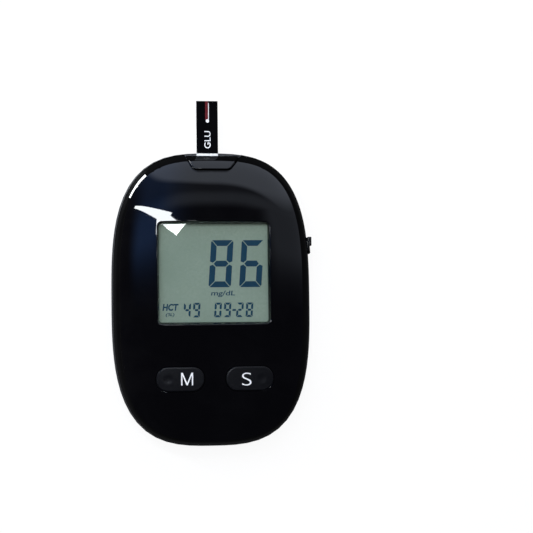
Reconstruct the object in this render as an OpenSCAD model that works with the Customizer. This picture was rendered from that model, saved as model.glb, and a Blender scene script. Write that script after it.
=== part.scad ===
// Pocket meter that reads a test strip and shows the result on a segment display.
// It lies on its flat back: +Z comes out of the display, +Y points to the strip port and
// +X to the ejector slider. The origin is the middle of the back. Sizes are in millimetres.

/* [Body] */
// Length of the body along Y
body_l = 86; // [84:0.5:89]
// Width of the body along X
body_w = 58.4; // [57:0.2:60]
// Thickness from the flat back to the crown of the face
body_t = 20; // [19.9:0.1:21]
// Squareness of the outline in the half with the strip port
top_power = 3.05; // [2.9:0.05:3.4]
// Squareness of the outline in the half with the keys
bottom_power = 3.05; // [2.7:0.05:3.2]
// Wall thickness of both covers
wall = 1.6; // [1.4:0.1:1.7]
// Height of the seam between the covers
seam_z = 11; // [10.9:0.1:11.1]
// Height at which the body is widest
widest_z = 8.5; // [7.5:0.1:9]
// How far the edge of the flat back lies inside the outline
back_inset = 4.5; // [4:0.1:5]
// How far the seam lies inside the outline
seam_inset = 0.8; // [0.6:0.05:0.9]
// Height and depth of each half of the groove along the seam
seam_groove = 0.35; // [0.2:0.05:0.4]
// Height and thickness of the lip that keys the covers together
lip_h = 1; // [0.7:0.1:1.2]
lip_t = 0.7; // [0.6:0.05:0.8]
// Gap between pieces that fit into each other
fit_gap = 0.1; // [0.05:0.01:0.15]

/* [Face] */
// Height of the crease where the flank meets the face
crease_z = 14; // [13.6:0.1:14.4]
// How far the crease lies inside the outline at the sides and the bottom end
crease_inset = 1.2; // [1:0.1:1.7]
// How far the crease lies inside the outline at the port end
crease_top_inset = 2.5; // [2:0.1:2.8]
// Fall of the face's shallow curve from the crown to the crease
face_sag = 1.6; // [1.4:0.1:1.9]
// Power of the curve that rolls the face down at its edge
roll_power = 8; // [7:0.5:9]

/* [Window] */
// Width and length of the window where it meets the face
window_w = 32.9; // [32:0.1:33.2]
window_l = 29.8; // [29:0.1:30.2]
// Distance of the window from the port end of the body
window_in = 21; // [20.7:0.1:21.3]
// Corner radius of the window
window_r = 1.2; // [0.8:0.1:1.6]
// Width of the sloping edge round the window
bevel = 0.7; // [0.5:0.05:0.8]
// Thickness of the clear lens and height of its outer face
lens_t = 1; // [0.8:0.1:1.1]
lens_z = 17.8; // [17.6:0.1:17.9]
// Overlap of the lens behind the sloping edge
lens_rim = 1.6; // [1.3:0.1:1.7]
// Width of the tape frame round the lens
tape_w = 1.3; // [0.9:0.1:1.4]
// Thickness of the tape
tape_t = 0.4; // [0.3:0.05:0.5]
// Width of the frame that holds the lens, outside the lens
lens_frame = 1.5; // [1.2:0.1:1.7]

/* [Display] */
// Thickness of each glass plate
glass_t = 1; // [0.9:0.05:1.05]
// Thickness of the polarising film and of the reflector
film_t = 0.15; // [0.1:0.01:0.2]
// Width of the glass beyond the window at each side
glass_side = 1; // [0.8:0.05:1.1]
// Width of the display frame outside the glass, and radius of its corners
display_rim = 0.9; // [0.8:0.05:1]
display_r = 2.5; // [2.2:0.1:2.7]
// Height of the display frame's ledge under the glass
display_ledge = 1.2; // [1:0.1:1.5]
// Width of the rubber contact strips
zebra_w = 1.6; // [1.4:0.1:1.7]
// Step by which the front glass reaches past the rear glass at each end
glass_step = 2.2; // [2:0.1:2.3]

/* [Keys] */
// Length and width of each key
key_l = 13.8; // [13.4:0.1:14.4]
key_w = 6.9; // [6.5:0.1:7.2]
// Distance of each key's middle from the centre line
key_x = 10; // [9.8:0.1:10.4]
// Middle of the keys along Y
key_y = -23.4; // [-23.8:0.1:-22.8]
// Gap round each key
key_gap = 0.15; // [0.1:0.01:0.2]
// Height of a key over the face
key_proud = 0.25; // [0.15:0.05:0.4]
// Travel of a key
key_travel = 0.6; // [0.4:0.05:0.7]
// Width and thickness of the flange that keeps a key in
key_flange = 0.8; // [0.6:0.1:0.9]
key_flange_t = 1; // [0.8:0.1:1.1]
// Height of the collar's lower edge round each key
collar_z = 16.1; // [16:0.05:16.1]
// Wall of the collar round each key
collar_wall = 1.2; // [1:0.1:1.3]
// Radius and depth of the thumb dimple in each key
dimple_r = 1.35; // [1.1:0.05:1.5]
dimple_depth = 0.2; // [0.1:0.02:0.25]
// Distance of the dimple from the key's middle
dimple_x = 3.4; // [3:0.1:3.8]

/* [Key switches] */
// Side and height of a switch body
switch_w = 6; // [5.6:0.1:6.4]
switch_h = 3.2; // [3:0.1:3.4]
// Radius of the switch plunger
plunger_r = 1.7; // [1.5:0.05:1.8]
// Depth of the bore in the switch body
plunger_bore = 2; // [1.8:0.1:2.2]
// Size of the clip off each corner of a switch body
switch_clip = 1.1; // [0.8:0.1:1.3]
// Room under the pressed plunger
plunger_room = 0.2; // [0.15:0.05:0.3]

/* [Board] */
// Thickness of the circuit board
board_t = 1; // [0.8:0.1:1.1]
// Height of the board's upper face
board_z = 10.5; // [10.4:0.05:10.6]
// Distance of the board's edge from the outline
board_inset = 4.2; // [3.9:0.1:4.4]

/* [Screws] */
// Distance of the screws at the port end from the body's side and from that end
top_screw_side = 16.2; // [15.8:0.1:16.4]
top_screw_in = 8; // [7.8:0.1:8.2]
// Distance of the screws at the key end from the body's side and from that end
low_screw_side = 12.2; // [11.8:0.1:12.4]
low_screw_in = 11.6; // [11.4:0.1:12]
// Distance of the board screws from the body's side, and their place along Y
board_screw_side = 7.6; // [7.4:0.1:7.8]
board_screw_y = -13.2; // [-13.6:0.1:-12.8]
// Radius of the screw shank and of its head
screw_r = 1; // [0.8:0.05:1.1]
screw_head_r = 2; // [1.8:0.05:2.1]
// Thickness of the screw head
screw_head_t = 1.3; // [1.1:0.1:1.5]
// Radius of the screw posts
post_r = 2.5; // [2.35:0.05:2.6]
// Height of the tips of the case screws
screw_tip_z = 13.6; // [13:0.1:13.8]
// Height of the seat of the case screws' heads
screw_seat_z = 4.2; // [4:0.1:4.6]

/* [Strip port] */
// Width and thickness of the test strip
strip_w = 6.3; // [6:0.1:6.6]
strip_t = 0.5; // [0.46:0.02:0.52]
// Length of the test strip
strip_l = 25.8; // [24:0.1:27]
// Place of the strip's middle along X
strip_x = -1; // [-1.2:0.1:-0.4]
// Length of the strip that stands out past the body
strip_out = 15; // [14:0.1:16]
// Height of the strip's underside
strip_z = 11.6; // [11.55:0.01:11.65]
// Gap round the strip in its slot
strip_gap = 0.15; // [0.1:0.01:0.18]
// Thickness of the carrier film
strip_base_t = 0.3; // [0.28:0.01:0.32]
// Distance of the printed film's edge from the end of the body
print_in = 0.45; // [0.3:0.05:0.6]
// Width of the port insert at the end of the body and at its inner edge
port_w = 15.5; // [15:0.1:16]
port_inner_w = 9.3; // [9:0.1:9.8]
// Place of the insert's middle along X
port_x = 0.7; // [0:0.1:0.9]
// Length of the port insert along Y
port_l = 4.4; // [4.1:0.1:4.5]
// Distance of the insert's mouth from the end of the body
port_in = 1.2; // [1.15:0.05:1.4]
// Gap round the port insert
port_gap = 0.12; // [0.1:0.01:0.15]
// Width and depth of the funnel in front of the slot
funnel_w = 9; // [8.6:0.1:9.4]
funnel_l = 0.9; // [0.7:0.1:1]
// Height of the funnel over and under the slot
funnel_rise = 0.25; // [0.2:0.01:0.3]

/* [Strip connector] */
// Width of the connector
connector_w = 10.5; // [10:0.1:11]
// Height of the connector over the board
connector_h = 3.2; // [3:0.1:3.4]
// Number of spring contacts
contact_count = 5; // [3:1:5]
// Spacing, width and metal thickness of the contacts
contact_pitch = 1.15; // [1.1:0.01:1.2]
contact_w = 0.6; // [0.5:0.05:0.65]
contact_t = 0.15; // [0.12:0.01:0.18]
// Distance of the contacts from the connector's rear, and length of their feet
contact_back = 0.6; // [0.5:0.05:0.7]
contact_foot = 0.9; // [0.8:0.05:1]
// Gap under a track of the strip
contact_gap = 0.06; // [0.04:0.01:0.08]
// Thickness of the strip's tracks
track_t = 0.04; // [0.03:0.01:0.05]

/* [Ejector] */
// Travel of the ejector
eject_travel = 4.5; // [4:0.1:4.6]
// Lower end and length of the thumb knob along Y
knob_y = 13; // [12.6:0.1:13.2]
knob_l = 5; // [4.6:0.1:5.4]
// Length of the knob's raised ridge
knob_ridge_l = 2.6; // [2.2:0.1:3]
// Height of the ridge and of the knob's plate over the flank
knob_ridge = 0.8; // [0.7:0.05:1]
knob_plate = 0.25; // [0.2:0.05:0.35]
// Height of the knob along Z
knob_h = 4; // [3.6:0.1:4.2]
// Height of the knob's middle
knob_z = 9.1; // [9:0.05:9.2]
// Length and height of the neck that joins the knob to its slide
neck_l = 3; // [2.8:0.1:3.2]
neck_h = 2.6; // [2.4:0.1:2.8]
// Gap round the neck in its slot
neck_gap = 0.3; // [0.2:0.05:0.35]
// Thickness of the slide's bars along Z
slide_t = 1.3; // [1.2:0.05:1.35]
// Width of the slide's bars
slide_w = 1.6; // [1.4:0.05:1.65]
// Running gap of the slide
slide_gap = 0.3; // [0.25:0.05:0.35]
// Length of the outer bar past the knob
bar_extra = 2.5; // [2.4:0.1:2.6]
// Width of the arm that crosses behind the display
arm_w = 1; // [0.9:0.05:1]
// Width of the finger that pushes the strip
finger_w = 4; // [3.6:0.1:4.4]
// Radius and wire radius of the return spring
spring_r = 0.95; // [0.8:0.05:1]
spring_wire = 0.2; // [0.15:0.01:0.22]
// Number of turns in the return spring
spring_turns = 7; // [6:1:9]
// Length of the spring at rest
spring_l = 7.6; // [7.4:0.1:7.8]
// Gap between the spring and the side of the strip connector
spring_side = 1.2; // [1:0.1:1.4]
// Thickness of the post the spring bears on
spring_stop_t = 1; // [0.8:0.1:1.1]

/* [Battery bay] */
// Radius and thickness of a coin cell
cell_r = 10; // [9.8:0.05:10.1]
cell_t = 3.2; // [3:0.05:3.3]
// Distance of each cell's middle from the centre line
cell_x = 10.6; // [10.5:0.05:10.7]
// Middle of the cells along Y
cell_y = -17; // [-17.4:0.1:-16.6]
// Gap round and under a cell
cell_gap = 0.3; // [0.2:0.05:0.35]
// Height of the bay's ceiling over the cells, where the contacts lie
contact_room = 1.1; // [1:0.05:1.2]
// Thickness of the bay's ceiling
ceiling_t = 1; // [0.8:0.1:1.2]
// Wall of the bay round the cells
bay_wall = 1; // [0.8:0.05:1.1]
// Height and width of the step of a cell's cap
cap_h = 0.4; // [0.3:0.05:0.5]
cap_step = 1.4; // [1.2:0.1:1.6]
// Length, width and thickness of the leaf springs over the cells
leaf_l = 10; // [9:0.5:10.5]
leaf_w = 4; // [3.6:0.1:4.4]
leaf_t = 0.2; // [0.16:0.01:0.22]
// Width of the leaf springs' tails
tail_w = 1.4; // [1.2:0.1:1.6]
// Width of the plate that joins the cells
bridge_w = 2.4; // [2.2:0.1:2.6]
// Width of the battery door
door_w = 44; // [43.4:0.1:44.4]
// Inner end of the door along Y
door_y = -5; // [-5.4:0.1:-4.8]
// Thickness of the door
door_t = 1.5; // [1.4:0.05:1.6]
// How far the door lies inside the flat back
door_recess = 0.1; // [0.05:0.05:0.15]
// Gap round the door
door_gap = 0.15; // [0.1:0.01:0.2]
// Width and thickness of the door's rails
rail_w = 0.9; // [0.7:0.05:1]
rail_t = 0.6; // [0.5:0.05:0.65]
// Height of the rails' underside, and their end towards the keys along Y
rail_z = 0.7; // [0.65:0.05:0.75]
rail_end = -26; // [-27:0.5:-25]
// Thickness of the shelf over the door
shelf_t = 1.3; // [1.1:0.1:1.4]
// Number of grooves in the door's thumb grip
grip_count = 4; // [3:1:5]
// Spacing, width and radius of the grooves, and distance of the first from the door's end
grip_pitch = 1.6; // [1.4:0.1:1.8]
grip_w = 12; // [10:0.5:14]
grip_r = 0.35; // [0.3:0.05:0.4]
grip_in = 2.5; // [2.2:0.1:3]

/* [Buzzer] */
// Radius of the buzzer's brass disc and of its ceramic disc
buzzer_r = 9; // [8.6:0.1:9.4]
ceramic_r = 6; // [5.6:0.1:6.4]
// Thickness of each disc
disc_t = 0.25; // [0.2:0.01:0.3]
// Middle of the buzzer along Y
buzzer_y = 14; // [13.4:0.1:14.6]
// Height and wall of the ring that carries the buzzer
buzzer_ring_h = 1.6; // [1.4:0.1:1.8]
buzzer_ring_w = 1; // [0.8:0.1:1.2]
// Radius of the sound holes
sound_r = 0.7; // [0.5:0.05:0.8]

/* [Board parts] */
// Side of the processor, legs along each of its sides, and height of the flat packages
processor_w = 8; // [7:0.5:9]
processor_legs = 8; // [6:1:9]
chip_h = 1.2; // [1:0.1:1.3]
// Width and length of the memory chip, and legs along each of its sides
memory_w = 4; // [3.6:0.1:4.4]
memory_l = 5; // [4.6:0.1:5.4]
memory_legs = 4; // [3:1:5]
// Reach, width and height of a package's legs
leg_l = 0.7; // [0.6:0.05:0.8]
leg_w = 0.35; // [0.3:0.01:0.4]
leg_h = 0.4; // [0.3:0.05:0.5]
// Length and width of the crystal's can
crystal_l = 7; // [6.4:0.1:7.4]
crystal_w = 2.2; // [2:0.1:2.4]
// Width and length of the radio module, and distance of its middle from the body's side
radio_w = 10; // [9:0.2:10.4]
radio_l = 5.6; // [5.2:0.1:5.6]
radio_side = 16; // [15.8:0.1:16.4]
// Gap between the display frame and the parts beside it
part_gap = 0.4; // [0.3:0.05:0.5]
// Thickness of the module's own board, its bare margin, and the margin that holds its aerial
radio_board_t = 0.8; // [0.6:0.1:0.9]
radio_margin = 0.5; // [0.4:0.05:0.6]
radio_aerial = 2.1; // [1.8:0.1:2.4]
// Distance of the memory chip and of the crystal from the centre line
side_part_x = 12; // [11.6:0.2:12.4]
// Number, spacing and stagger of the small parts, and their row along Y
part_count = 10; // [6:1:12]
part_pitch = 2.4; // [2.2:0.1:2.5]
part_drop = 1.6; // [1.4:0.1:1.8]
part_y = -31; // [-31.5:0.1:-30]
// Length and height of a small part
part_l = 1.6; // [1.4:0.1:1.8]
part_h = 0.6; // [0.5:0.05:0.8]

/* [Hidden] */
half_l = body_l / 2;
half_w = body_w / 2;
// Points in each ring of the covers, and rings across the face and round the back's edge
ring_points = 80;
face_rings = 9;
edge_rings = 6;
// Share of the face inside its last ring, which is flat and lies in the window
crown_share = 0.12;
// Length by which a cutter runs past the solid it cuts
past = 1;
crease = [crease_inset, crease_top_inset, crease_inset];
face_roll = body_t - crease_z - face_sag;

// Window and lens, with the pocket that holds the lens
window_y = half_l - window_in - window_l / 2;
lens_w = window_w - 2 * bevel + 2 * lens_rim;
lens_l = window_l - 2 * bevel + 2 * lens_rim;

// Display stack, from the lens down to the board
display_top = lens_z - lens_t - tape_t;
front_glass_z = display_top - film_t - glass_t;
rear_glass_z = front_glass_z - glass_t;
reflector_z = rear_glass_z - film_t;
rear_glass_l = window_l - 2 * bevel;
front_glass_l = rear_glass_l + 2 * glass_step;
glass_w = window_w - 2 * bevel + 2 * glass_side;
display_w = glass_w + 2 * display_rim;
display_l = front_glass_l + 2 * display_rim;
zebra_l = rear_glass_l;
zebra_y = front_glass_l / 2 - glass_step / 2;

// Board, screws and switches
board_low = board_z - board_t;
top_screw_x = half_w - top_screw_side;
low_screw_x = half_w - low_screw_side;
board_screw_x = half_w - board_screw_side;
radio_x = half_w - radio_side;
radio_y = window_y + display_l / 2 + part_gap + radio_l / 2;
side_part_y = window_y - display_l / 2 - part_gap - memory_l / 2;
hole_r = screw_r + fit_gap;
flange_z = collar_z - fit_gap - key_flange_t;
switch_top = board_z + switch_h;
bore_floor = switch_top - plunger_bore;

// Port, strip and connector
mouth_y = half_l - port_in;
insert_y = mouth_y - port_l;
slot_w = strip_w + 2 * strip_gap;
slot_low = strip_z - strip_gap;
slot_h = strip_t + 2 * strip_gap;
strip_end = half_l + strip_out;
strip_start = strip_end - strip_l;

// Ejector
arm_y = window_y + display_l / 2 + slide_gap;
slide_z = board_z + fit_gap;
bar_end = knob_y + knob_l + bar_extra;
bar_x = wall_x(bar_end + eject_travel) - slide_gap;
inner_bar_x = display_w / 2 + slide_gap + slide_w;
neck_y = knob_y + (knob_l - neck_l) / 2;
ridge_y = knob_y + knob_l - knob_ridge_l;
connector_y = arm_y + arm_w + eject_travel + slide_gap;
connector_l = insert_y - slide_gap - connector_y;
spring_out = spring_r + spring_wire;
spring_x = strip_x + connector_w / 2 + spring_side + spring_out;
spring_y = arm_y + arm_w;
spring_z = slide_z + spring_out;
spring_end = spring_y + spring_l;

// Battery bay and door
door_top = door_recess + door_t;
cell_z = door_top + cell_gap;
bay_z = cell_z + cell_t + contact_room;
shelf_z = door_top + door_gap + shelf_t;
bay_r = cell_r + cell_gap;

// Distance from the middle to a rounded-box outline with half sizes a and b, at angle t
function reach(t, a, b) =
    let (n = sin(t) >= 0 ? top_power : bottom_power)
    1 / pow(pow(abs(cos(t)) / a, n) + pow(abs(sin(t)) / b, n), 1 / n);

// The body's outline drawn in by [side, port end, key end]
function outline(inset) = [
    for (i = [0 : ring_points - 1])
        let (t = 360 * i / ring_points,
             b = half_l - (sin(t) >= 0 ? inset[1] : inset[2]),
             r = reach(t, half_w - inset[0], b))
        [r * cos(t), r * sin(t)]];

function even(inset) = [inset, inset, inset];
function ring(inset, z) = [for (p = outline(inset)) [p[0], p[1], z]];

// Half width of the outline drawn in by inset, at a place y in the half with the port
function side_x(inset, y) =
    (half_w - inset) * pow(1 - pow(y / (half_l - inset), top_power), 1 / top_power);

// Half width inside the covers' lip at a place y
function wall_x(y) = side_x(seam_inset + wall, y);

// Foot of the ejector's knob on the flank at a place y
function knob_foot(y) = side_x(0, y) + fit_gap;

// Height of the face at a share u of the way from the crown to the crease
function face_z(u) = body_t - face_sag * pow(u, 2) - face_roll * pow(u, roll_power);

// Height of the face over the point x, y
function face_at(x, y) =
    let (t = atan2(y, x), b = half_l - (y >= 0 ? crease[1] : crease[2]))
    face_z(norm([x, y]) / reach(t, half_w - crease[0], b));

// Ring of the face at share u, on the surface that lies a depth inside it
function face_ring(u, depth) =
    ring([half_w - (half_w - crease[0] - depth) * u,
          half_l - (half_l - crease[1] - depth) * u,
          half_l - (half_l - crease[2] - depth) * u], face_z(u) - depth);

function face_dome(depth) = [
    for (i = [0 : face_rings])
        face_ring(1 - (1 - crown_share) * pow(i / face_rings, 1.5), depth)];

// Rings of the back's rounded edge on the surface a depth inside it
function back_edge(depth) = [
    for (i = [0 : edge_rings])
        let (t = 90 * i / edge_rings)
        ring(even(depth + back_inset * (1 - sin(t))),
             depth + (widest_z - depth) * (1 - cos(t)))];

// Closed solid through a stack of rings with equal numbers of points
module loft(rings) {
    n = len(rings[0]);
    last = (len(rings) - 1) * n;
    polyhedron(
        [for (r = rings) each r],
        concat(
            [[for (i = [0 : n - 1]) i]],
            [for (k = [0 : len(rings) - 2], i = [0 : n - 1], half = [0, 1])
                let (j = (i + 1) % n, low = k * n, high = low + n)
                half == 0 ? [low + i, high + i, high + j] : [low + i, high + j, low + j]],
            [[for (i = [n - 1 : -1 : 0]) last + i]]));
}

// Outer form of the front cover
module front_form() {
    loft(concat(
        [ring(even(seam_inset), seam_z),
         ring(even(seam_inset - seam_groove), seam_z + seam_groove)],
        face_dome(0)));
}

// Outer form of the back cover
module back_form() {
    loft(concat(
        back_edge(0),
        [ring(even(seam_inset - seam_groove), seam_z - seam_groove),
         ring(even(seam_inset), seam_z)]));
}

// Flat plate centred on Z with rounded corners
module plate(w, l, t, r = 0.5) {
    linear_extrude(t) union() {
        square([w - 2 * r, l], center = true);
        square([w, l - 2 * r], center = true);
        for (x = [-1, 1], y = [-1, 1])
            translate([x * (w / 2 - r), y * (l / 2 - r)]) circle(r, $fn = 32);
    }
}

// Upright pill with its long side along X
module pill(l, w, t) {
    linear_extrude(t) union() {
        square([l - w, w], center = true);
        for (x = [-1, 1]) translate([x * (l - w) / 2, 0]) circle(w / 2, $fn = 48);
    }
}

// Box between two corners
module block(low, high) {
    translate(low) cube(high - low);
}

module screw_places() {
    for (x = [-1, 1]) {
        translate([x * top_screw_x, half_l - top_screw_in, 0]) children();
        translate([x * low_screw_x, low_screw_in - half_l, 0]) children();
    }
}

module board_screw_places() {
    for (x = [-1, 1]) translate([x * board_screw_x, board_screw_y, 0]) children();
}

module cell_places() {
    for (x = [-1, 1]) translate([x * cell_x, cell_y, 0]) children();
}

// Screw with its head down, whose head's upper side lies at z
module screw(z) {
    difference() {
        translate([0, 0, z - screw_head_t]) cylinder(r = screw_head_r, h = screw_head_t, $fn = 32);
        for (turn = [0, 90]) rotate(turn)
            translate([-screw_head_r / 2, -screw_r / 4, z - screw_head_t - past])
                cube([screw_head_r, screw_r / 2, past + screw_head_t / 2]);
    }
    translate([0, 0, z - fit_gap]) cylinder(r = screw_r, h = screw_tip_z - z + fit_gap, $fn = 32);
}

// Bore of a front post, from past its foot to past the screw's tip
module screw_bore() {
    cylinder(r = screw_r + fit_gap / 2, h = screw_tip_z - board_z + 2 * past, $fn = 32);
}

// Footprint of the port insert, drawn in by gap
module port_outline(gap) {
    y0 = insert_y + gap;
    y1 = half_l + past;
    slope = (port_w - port_inner_w) / 2 / port_l;
    w0 = port_inner_w / 2 - gap;
    w1 = w0 + slope * (y1 - y0);
    translate([port_x, 0]) polygon([[-w0, y0], [w0, y0], [w1, y1], [-w1, y1]]);
}

// Posts of the front cover, from a height up
module front_posts(z) {
    translate([0, 0, z]) {
        screw_places() cylinder(r = post_r, h = body_t, $fn = 32);
        board_screw_places() cylinder(r = post_r, h = body_t, $fn = 32);
        translate([spring_x - spring_r, spring_end, 0]) cube([2 * spring_r, spring_stop_t, body_t]);
    }
}

module front_hollow() {
    difference() {
        union() {
            loft(concat([ring(even(seam_inset + wall), seam_z - past)], face_dome(wall)));
            translate([0, 0, seam_z - past]) linear_extrude(past + lip_h + fit_gap)
                polygon(outline(even(seam_inset + wall - lip_t - 2 * fit_gap)));
        }
        front_posts(0);
        // frame round the lens
        translate([0, window_y, lens_z - lens_t - 2 * fit_gap])
            plate(lens_w + 2 * lens_frame, lens_l + 2 * lens_frame, body_t, window_r + lens_frame);
        // collars round the keys
        for (x = [-1, 1]) translate([x * key_x, key_y, collar_z])
            pill(key_l + 2 * collar_wall, key_w + 2 * collar_wall, body_t);
    }
}

module window_cut() {
    translate([0, window_y, 0]) {
        hull() {
            translate([0, 0, lens_z - fit_gap])
                plate(window_w - 2 * bevel, window_l - 2 * bevel, fit_gap, window_r);
            translate([0, 0, body_t])
                plate(window_w + bevel, window_l + bevel, past, window_r + bevel);
        }
        translate([0, 0, lens_z - lens_t - past])
            plate(lens_w + 2 * fit_gap, lens_l + 2 * fit_gap, lens_t + past, window_r + fit_gap);
    }
}

module front_cover() {
    color("#101114") difference() {
        union() {
            difference() {
                front_form();
                front_hollow();
            }
            // feet of the posts, which press on the board
            intersection() {
                front_posts(board_z);
                block([-half_w, -half_l, board_z], [half_w, half_l, seam_z + past]);
            }
        }
        window_cut();
        for (x = [-1, 1]) translate([x * key_x, key_y, seam_z])
            pill(key_l + 2 * key_gap, key_w + 2 * key_gap, body_t);
        translate([0, 0, board_z - past]) {
            screw_places() screw_bore();
            board_screw_places() screw_bore();
        }
        translate([0, 0, seam_z - past]) linear_extrude(body_t) port_outline(0);
    }
}

// Everything that stands inside the back cover
module back_fittings() {
    screw_places() cylinder(r = post_r, h = board_low, $fn = 32);
    // shelf over the door, and the walls and ceiling of the battery bay
    block([-door_w / 2 - rail_w - wall, -half_l, 0], [door_w / 2 + rail_w + wall, door_y + wall, shelf_z]);
    block([-cell_x - bay_r - bay_wall, cell_y - bay_r - bay_wall, 0],
        [cell_x + bay_r + bay_wall, cell_y + bay_r + bay_wall, bay_z + ceiling_t]);
    // ring under the buzzer
    translate([0, buzzer_y, 0]) difference() {
        cylinder(r = buzzer_r + buzzer_ring_w, h = wall + buzzer_ring_h + disc_t, $fn = 64);
        translate([0, 0, wall + buzzer_ring_h]) cylinder(r = buzzer_r + fit_gap, h = past, $fn = 64);
        cylinder(r = buzzer_r - buzzer_ring_w, h = body_t, $fn = 64);
    }
}

// Room for the door, with the grooves for its rails, open at the key end
module door_room() {
    block([-door_w / 2 - door_gap, -half_l - past, -past],
        [door_w / 2 + door_gap, door_y + door_gap, door_top + door_gap]);
    block([-door_w / 2 - rail_w - door_gap, -half_l - past, rail_z - door_gap],
        [door_w / 2 + rail_w + door_gap, door_y + door_gap, rail_z + rail_t + door_gap]);
}

module lip() {
    difference() {
        translate([0, 0, seam_z - lip_h]) linear_extrude(2 * lip_h) difference() {
            polygon(outline(even(seam_inset + wall - lip_t - fit_gap)));
            polygon(outline(even(seam_inset + wall - fit_gap)));
        }
        // gaps for the screw posts, the port insert and the ejector
        screw_places() cylinder(r = post_r + fit_gap, h = body_t, $fn = 32);
        block([port_x - port_w / 2 - fit_gap, insert_y - past, seam_z - past],
            [port_x + port_w / 2 + fit_gap, half_l, body_t]);
        block([half_w / 2, neck_y - neck_gap - past, 0], [half_w, bar_end + eject_travel + past, body_t]);
    }
}

module back_cover() {
    color("#2a2c30") difference() {
        union() {
            difference() {
                back_form();
                difference() {
                    loft(concat(back_edge(wall), [ring(even(seam_inset + wall), seam_z + past)]));
                    back_fittings();
                }
            }
            lip();
        }
        door_room();
        // battery bay, open to the door, with slots in its ceiling for the contacts' tails
        cell_places() cylinder(r = bay_r, h = bay_z, $fn = 64);
        block([-cell_x, cell_y - leaf_l / 2 - bridge_w - fit_gap, 0],
            [cell_x, cell_y + leaf_l / 2 + bridge_w + fit_gap, bay_z]);
        cell_places() block([-tail_w, leaf_l / 2 - leaf_t - fit_gap, bay_z - past],
            [tail_w, leaf_l / 2 + fit_gap, board_low]);
        // screw holes with room for the heads
        screw_places() {
            translate([0, 0, -past])
                cylinder(r = screw_head_r + 2 * fit_gap, h = screw_seat_z + past, $fn = 32);
            cylinder(r = hole_r, h = body_t, $fn = 32);
        }
        // slot for the ejector's neck
        block([half_w / 2, neck_y - neck_gap, knob_z - neck_h / 2 - neck_gap],
            [half_w + past, neck_y + neck_l + eject_travel + neck_gap, seam_z + past]);
        // sound holes
        for (turn = [0 : 120 : 240]) translate([0, buzzer_y, -past]) rotate(turn)
            translate([0, sound_r * 2, 0]) cylinder(r = sound_r, h = wall + 2 * past, $fn = 24);
    }
}

module window_lens() {
    color("#c8d4dc", 0.35) translate([0, window_y, lens_z - lens_t]) plate(lens_w, lens_l, lens_t, window_r);
}

module lens_tape() {
    color("#1a1a1a") translate([0, window_y, display_top]) difference() {
        plate(lens_w, lens_l, tape_t, window_r);
        translate([0, 0, -past])
            plate(lens_w - 2 * tape_w, lens_l - 2 * tape_w, tape_t + 2 * past, window_r);
    }
}

module port_insert() {
    color("#15161a") difference() {
        intersection() {
            front_form();
            linear_extrude(body_t) intersection() {
                port_outline(port_gap);
                square([body_w, 2 * mouth_y], center = true);
            }
        }
        // slot and funnel for the strip
        block([strip_x - slot_w / 2, insert_y - past, slot_low],
            [strip_x + slot_w / 2, half_l, slot_low + slot_h]);
        translate([0, 0, slot_low - funnel_rise]) linear_extrude(slot_h + 2 * funnel_rise) polygon([
            [strip_x - slot_w / 2, mouth_y - funnel_l], [strip_x + slot_w / 2, mouth_y - funnel_l],
            [port_x + funnel_w / 2, mouth_y + past / 10], [port_x - funnel_w / 2, mouth_y + past / 10]]);
    }
}

// Key with its flange; side is -1 for the left key and 1 for the right one
module key(side) {
    top = face_at(side * (key_x + dimple_x), key_y) + key_proud;
    ball_r = (pow(dimple_r, 2) + pow(dimple_depth, 2)) / (2 * dimple_depth);
    color("#3a3d42") difference() {
        union() {
            intersection() {
                translate([0, 0, key_proud]) front_form();
                translate([side * key_x, key_y, flange_z]) pill(key_l, key_w, body_t);
            }
            translate([side * key_x, key_y, flange_z])
                pill(key_l + 2 * key_flange, key_w + 2 * key_flange, key_flange_t);
        }
        translate([side * (key_x + dimple_x), key_y, top + ball_r - dimple_depth]) sphere(ball_r, $fn = 64);
    }
}

module key_m() { key(-1); }
module key_s() { key(1); }

module switch_plunger(side) {
    bottom = bore_floor + key_travel + plunger_room;
    color("#202020") translate([side * key_x, key_y, bottom])
        cylinder(r = plunger_r, h = flange_z - bottom, $fn = 32);
}

module switch_m_plunger() { switch_plunger(-1); }
module switch_s_plunger() { switch_plunger(1); }

module switch_body(side) {
    color("#b8bcc0") translate([side * key_x, key_y, 0]) difference() {
        translate([0, 0, board_z]) plate(switch_w, switch_w, switch_h);
        translate([0, 0, bore_floor])
            cylinder(r = plunger_r + fit_gap / 2, h = plunger_bore + past, $fn = 32);
        // clipped corners
        for (turn = [0 : 90 : 270]) rotate(turn)
            translate([switch_w / 2, switch_w / 2, switch_top]) rotate(45)
                cube(switch_clip, center = true);
    }
}

module switch_m_body() { switch_body(-1); }
module switch_s_body() { switch_body(1); }

module lcd_frame() {
    color("#e8e8e4") translate([0, window_y, 0]) difference() {
        translate([0, 0, board_z]) plate(display_w, display_l, display_top - board_z, display_r);
        translate([0, 0, reflector_z])
            plate(glass_w + 2 * fit_gap, front_glass_l + 2 * fit_gap, body_t, fit_gap);
        translate([0, 0, board_z - past])
            plate(glass_w - 2 * display_ledge, rear_glass_l - 2 * display_ledge, body_t, fit_gap);
        for (y = [-1, 1]) translate([0, y * zebra_y, board_z - past])
            plate(zebra_l + 2 * fit_gap, zebra_w + 2 * fit_gap, body_t, fit_gap);
    }
}

module lcd_front_film() {
    color("#8d9a92", 0.6) translate([0, window_y, display_top - film_t]) plate(glass_w, rear_glass_l, film_t);
}

module lcd_front_glass() {
    color("#b9c6bf", 0.5) translate([0, window_y, front_glass_z]) plate(glass_w, front_glass_l, glass_t);
}

module lcd_rear_glass() {
    color("#aebbb4", 0.5) translate([0, window_y, rear_glass_z]) plate(glass_w, rear_glass_l, glass_t);
}

module lcd_reflector() {
    color("#a4afa6") translate([0, window_y, reflector_z]) plate(glass_w, rear_glass_l, film_t);
}

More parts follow.
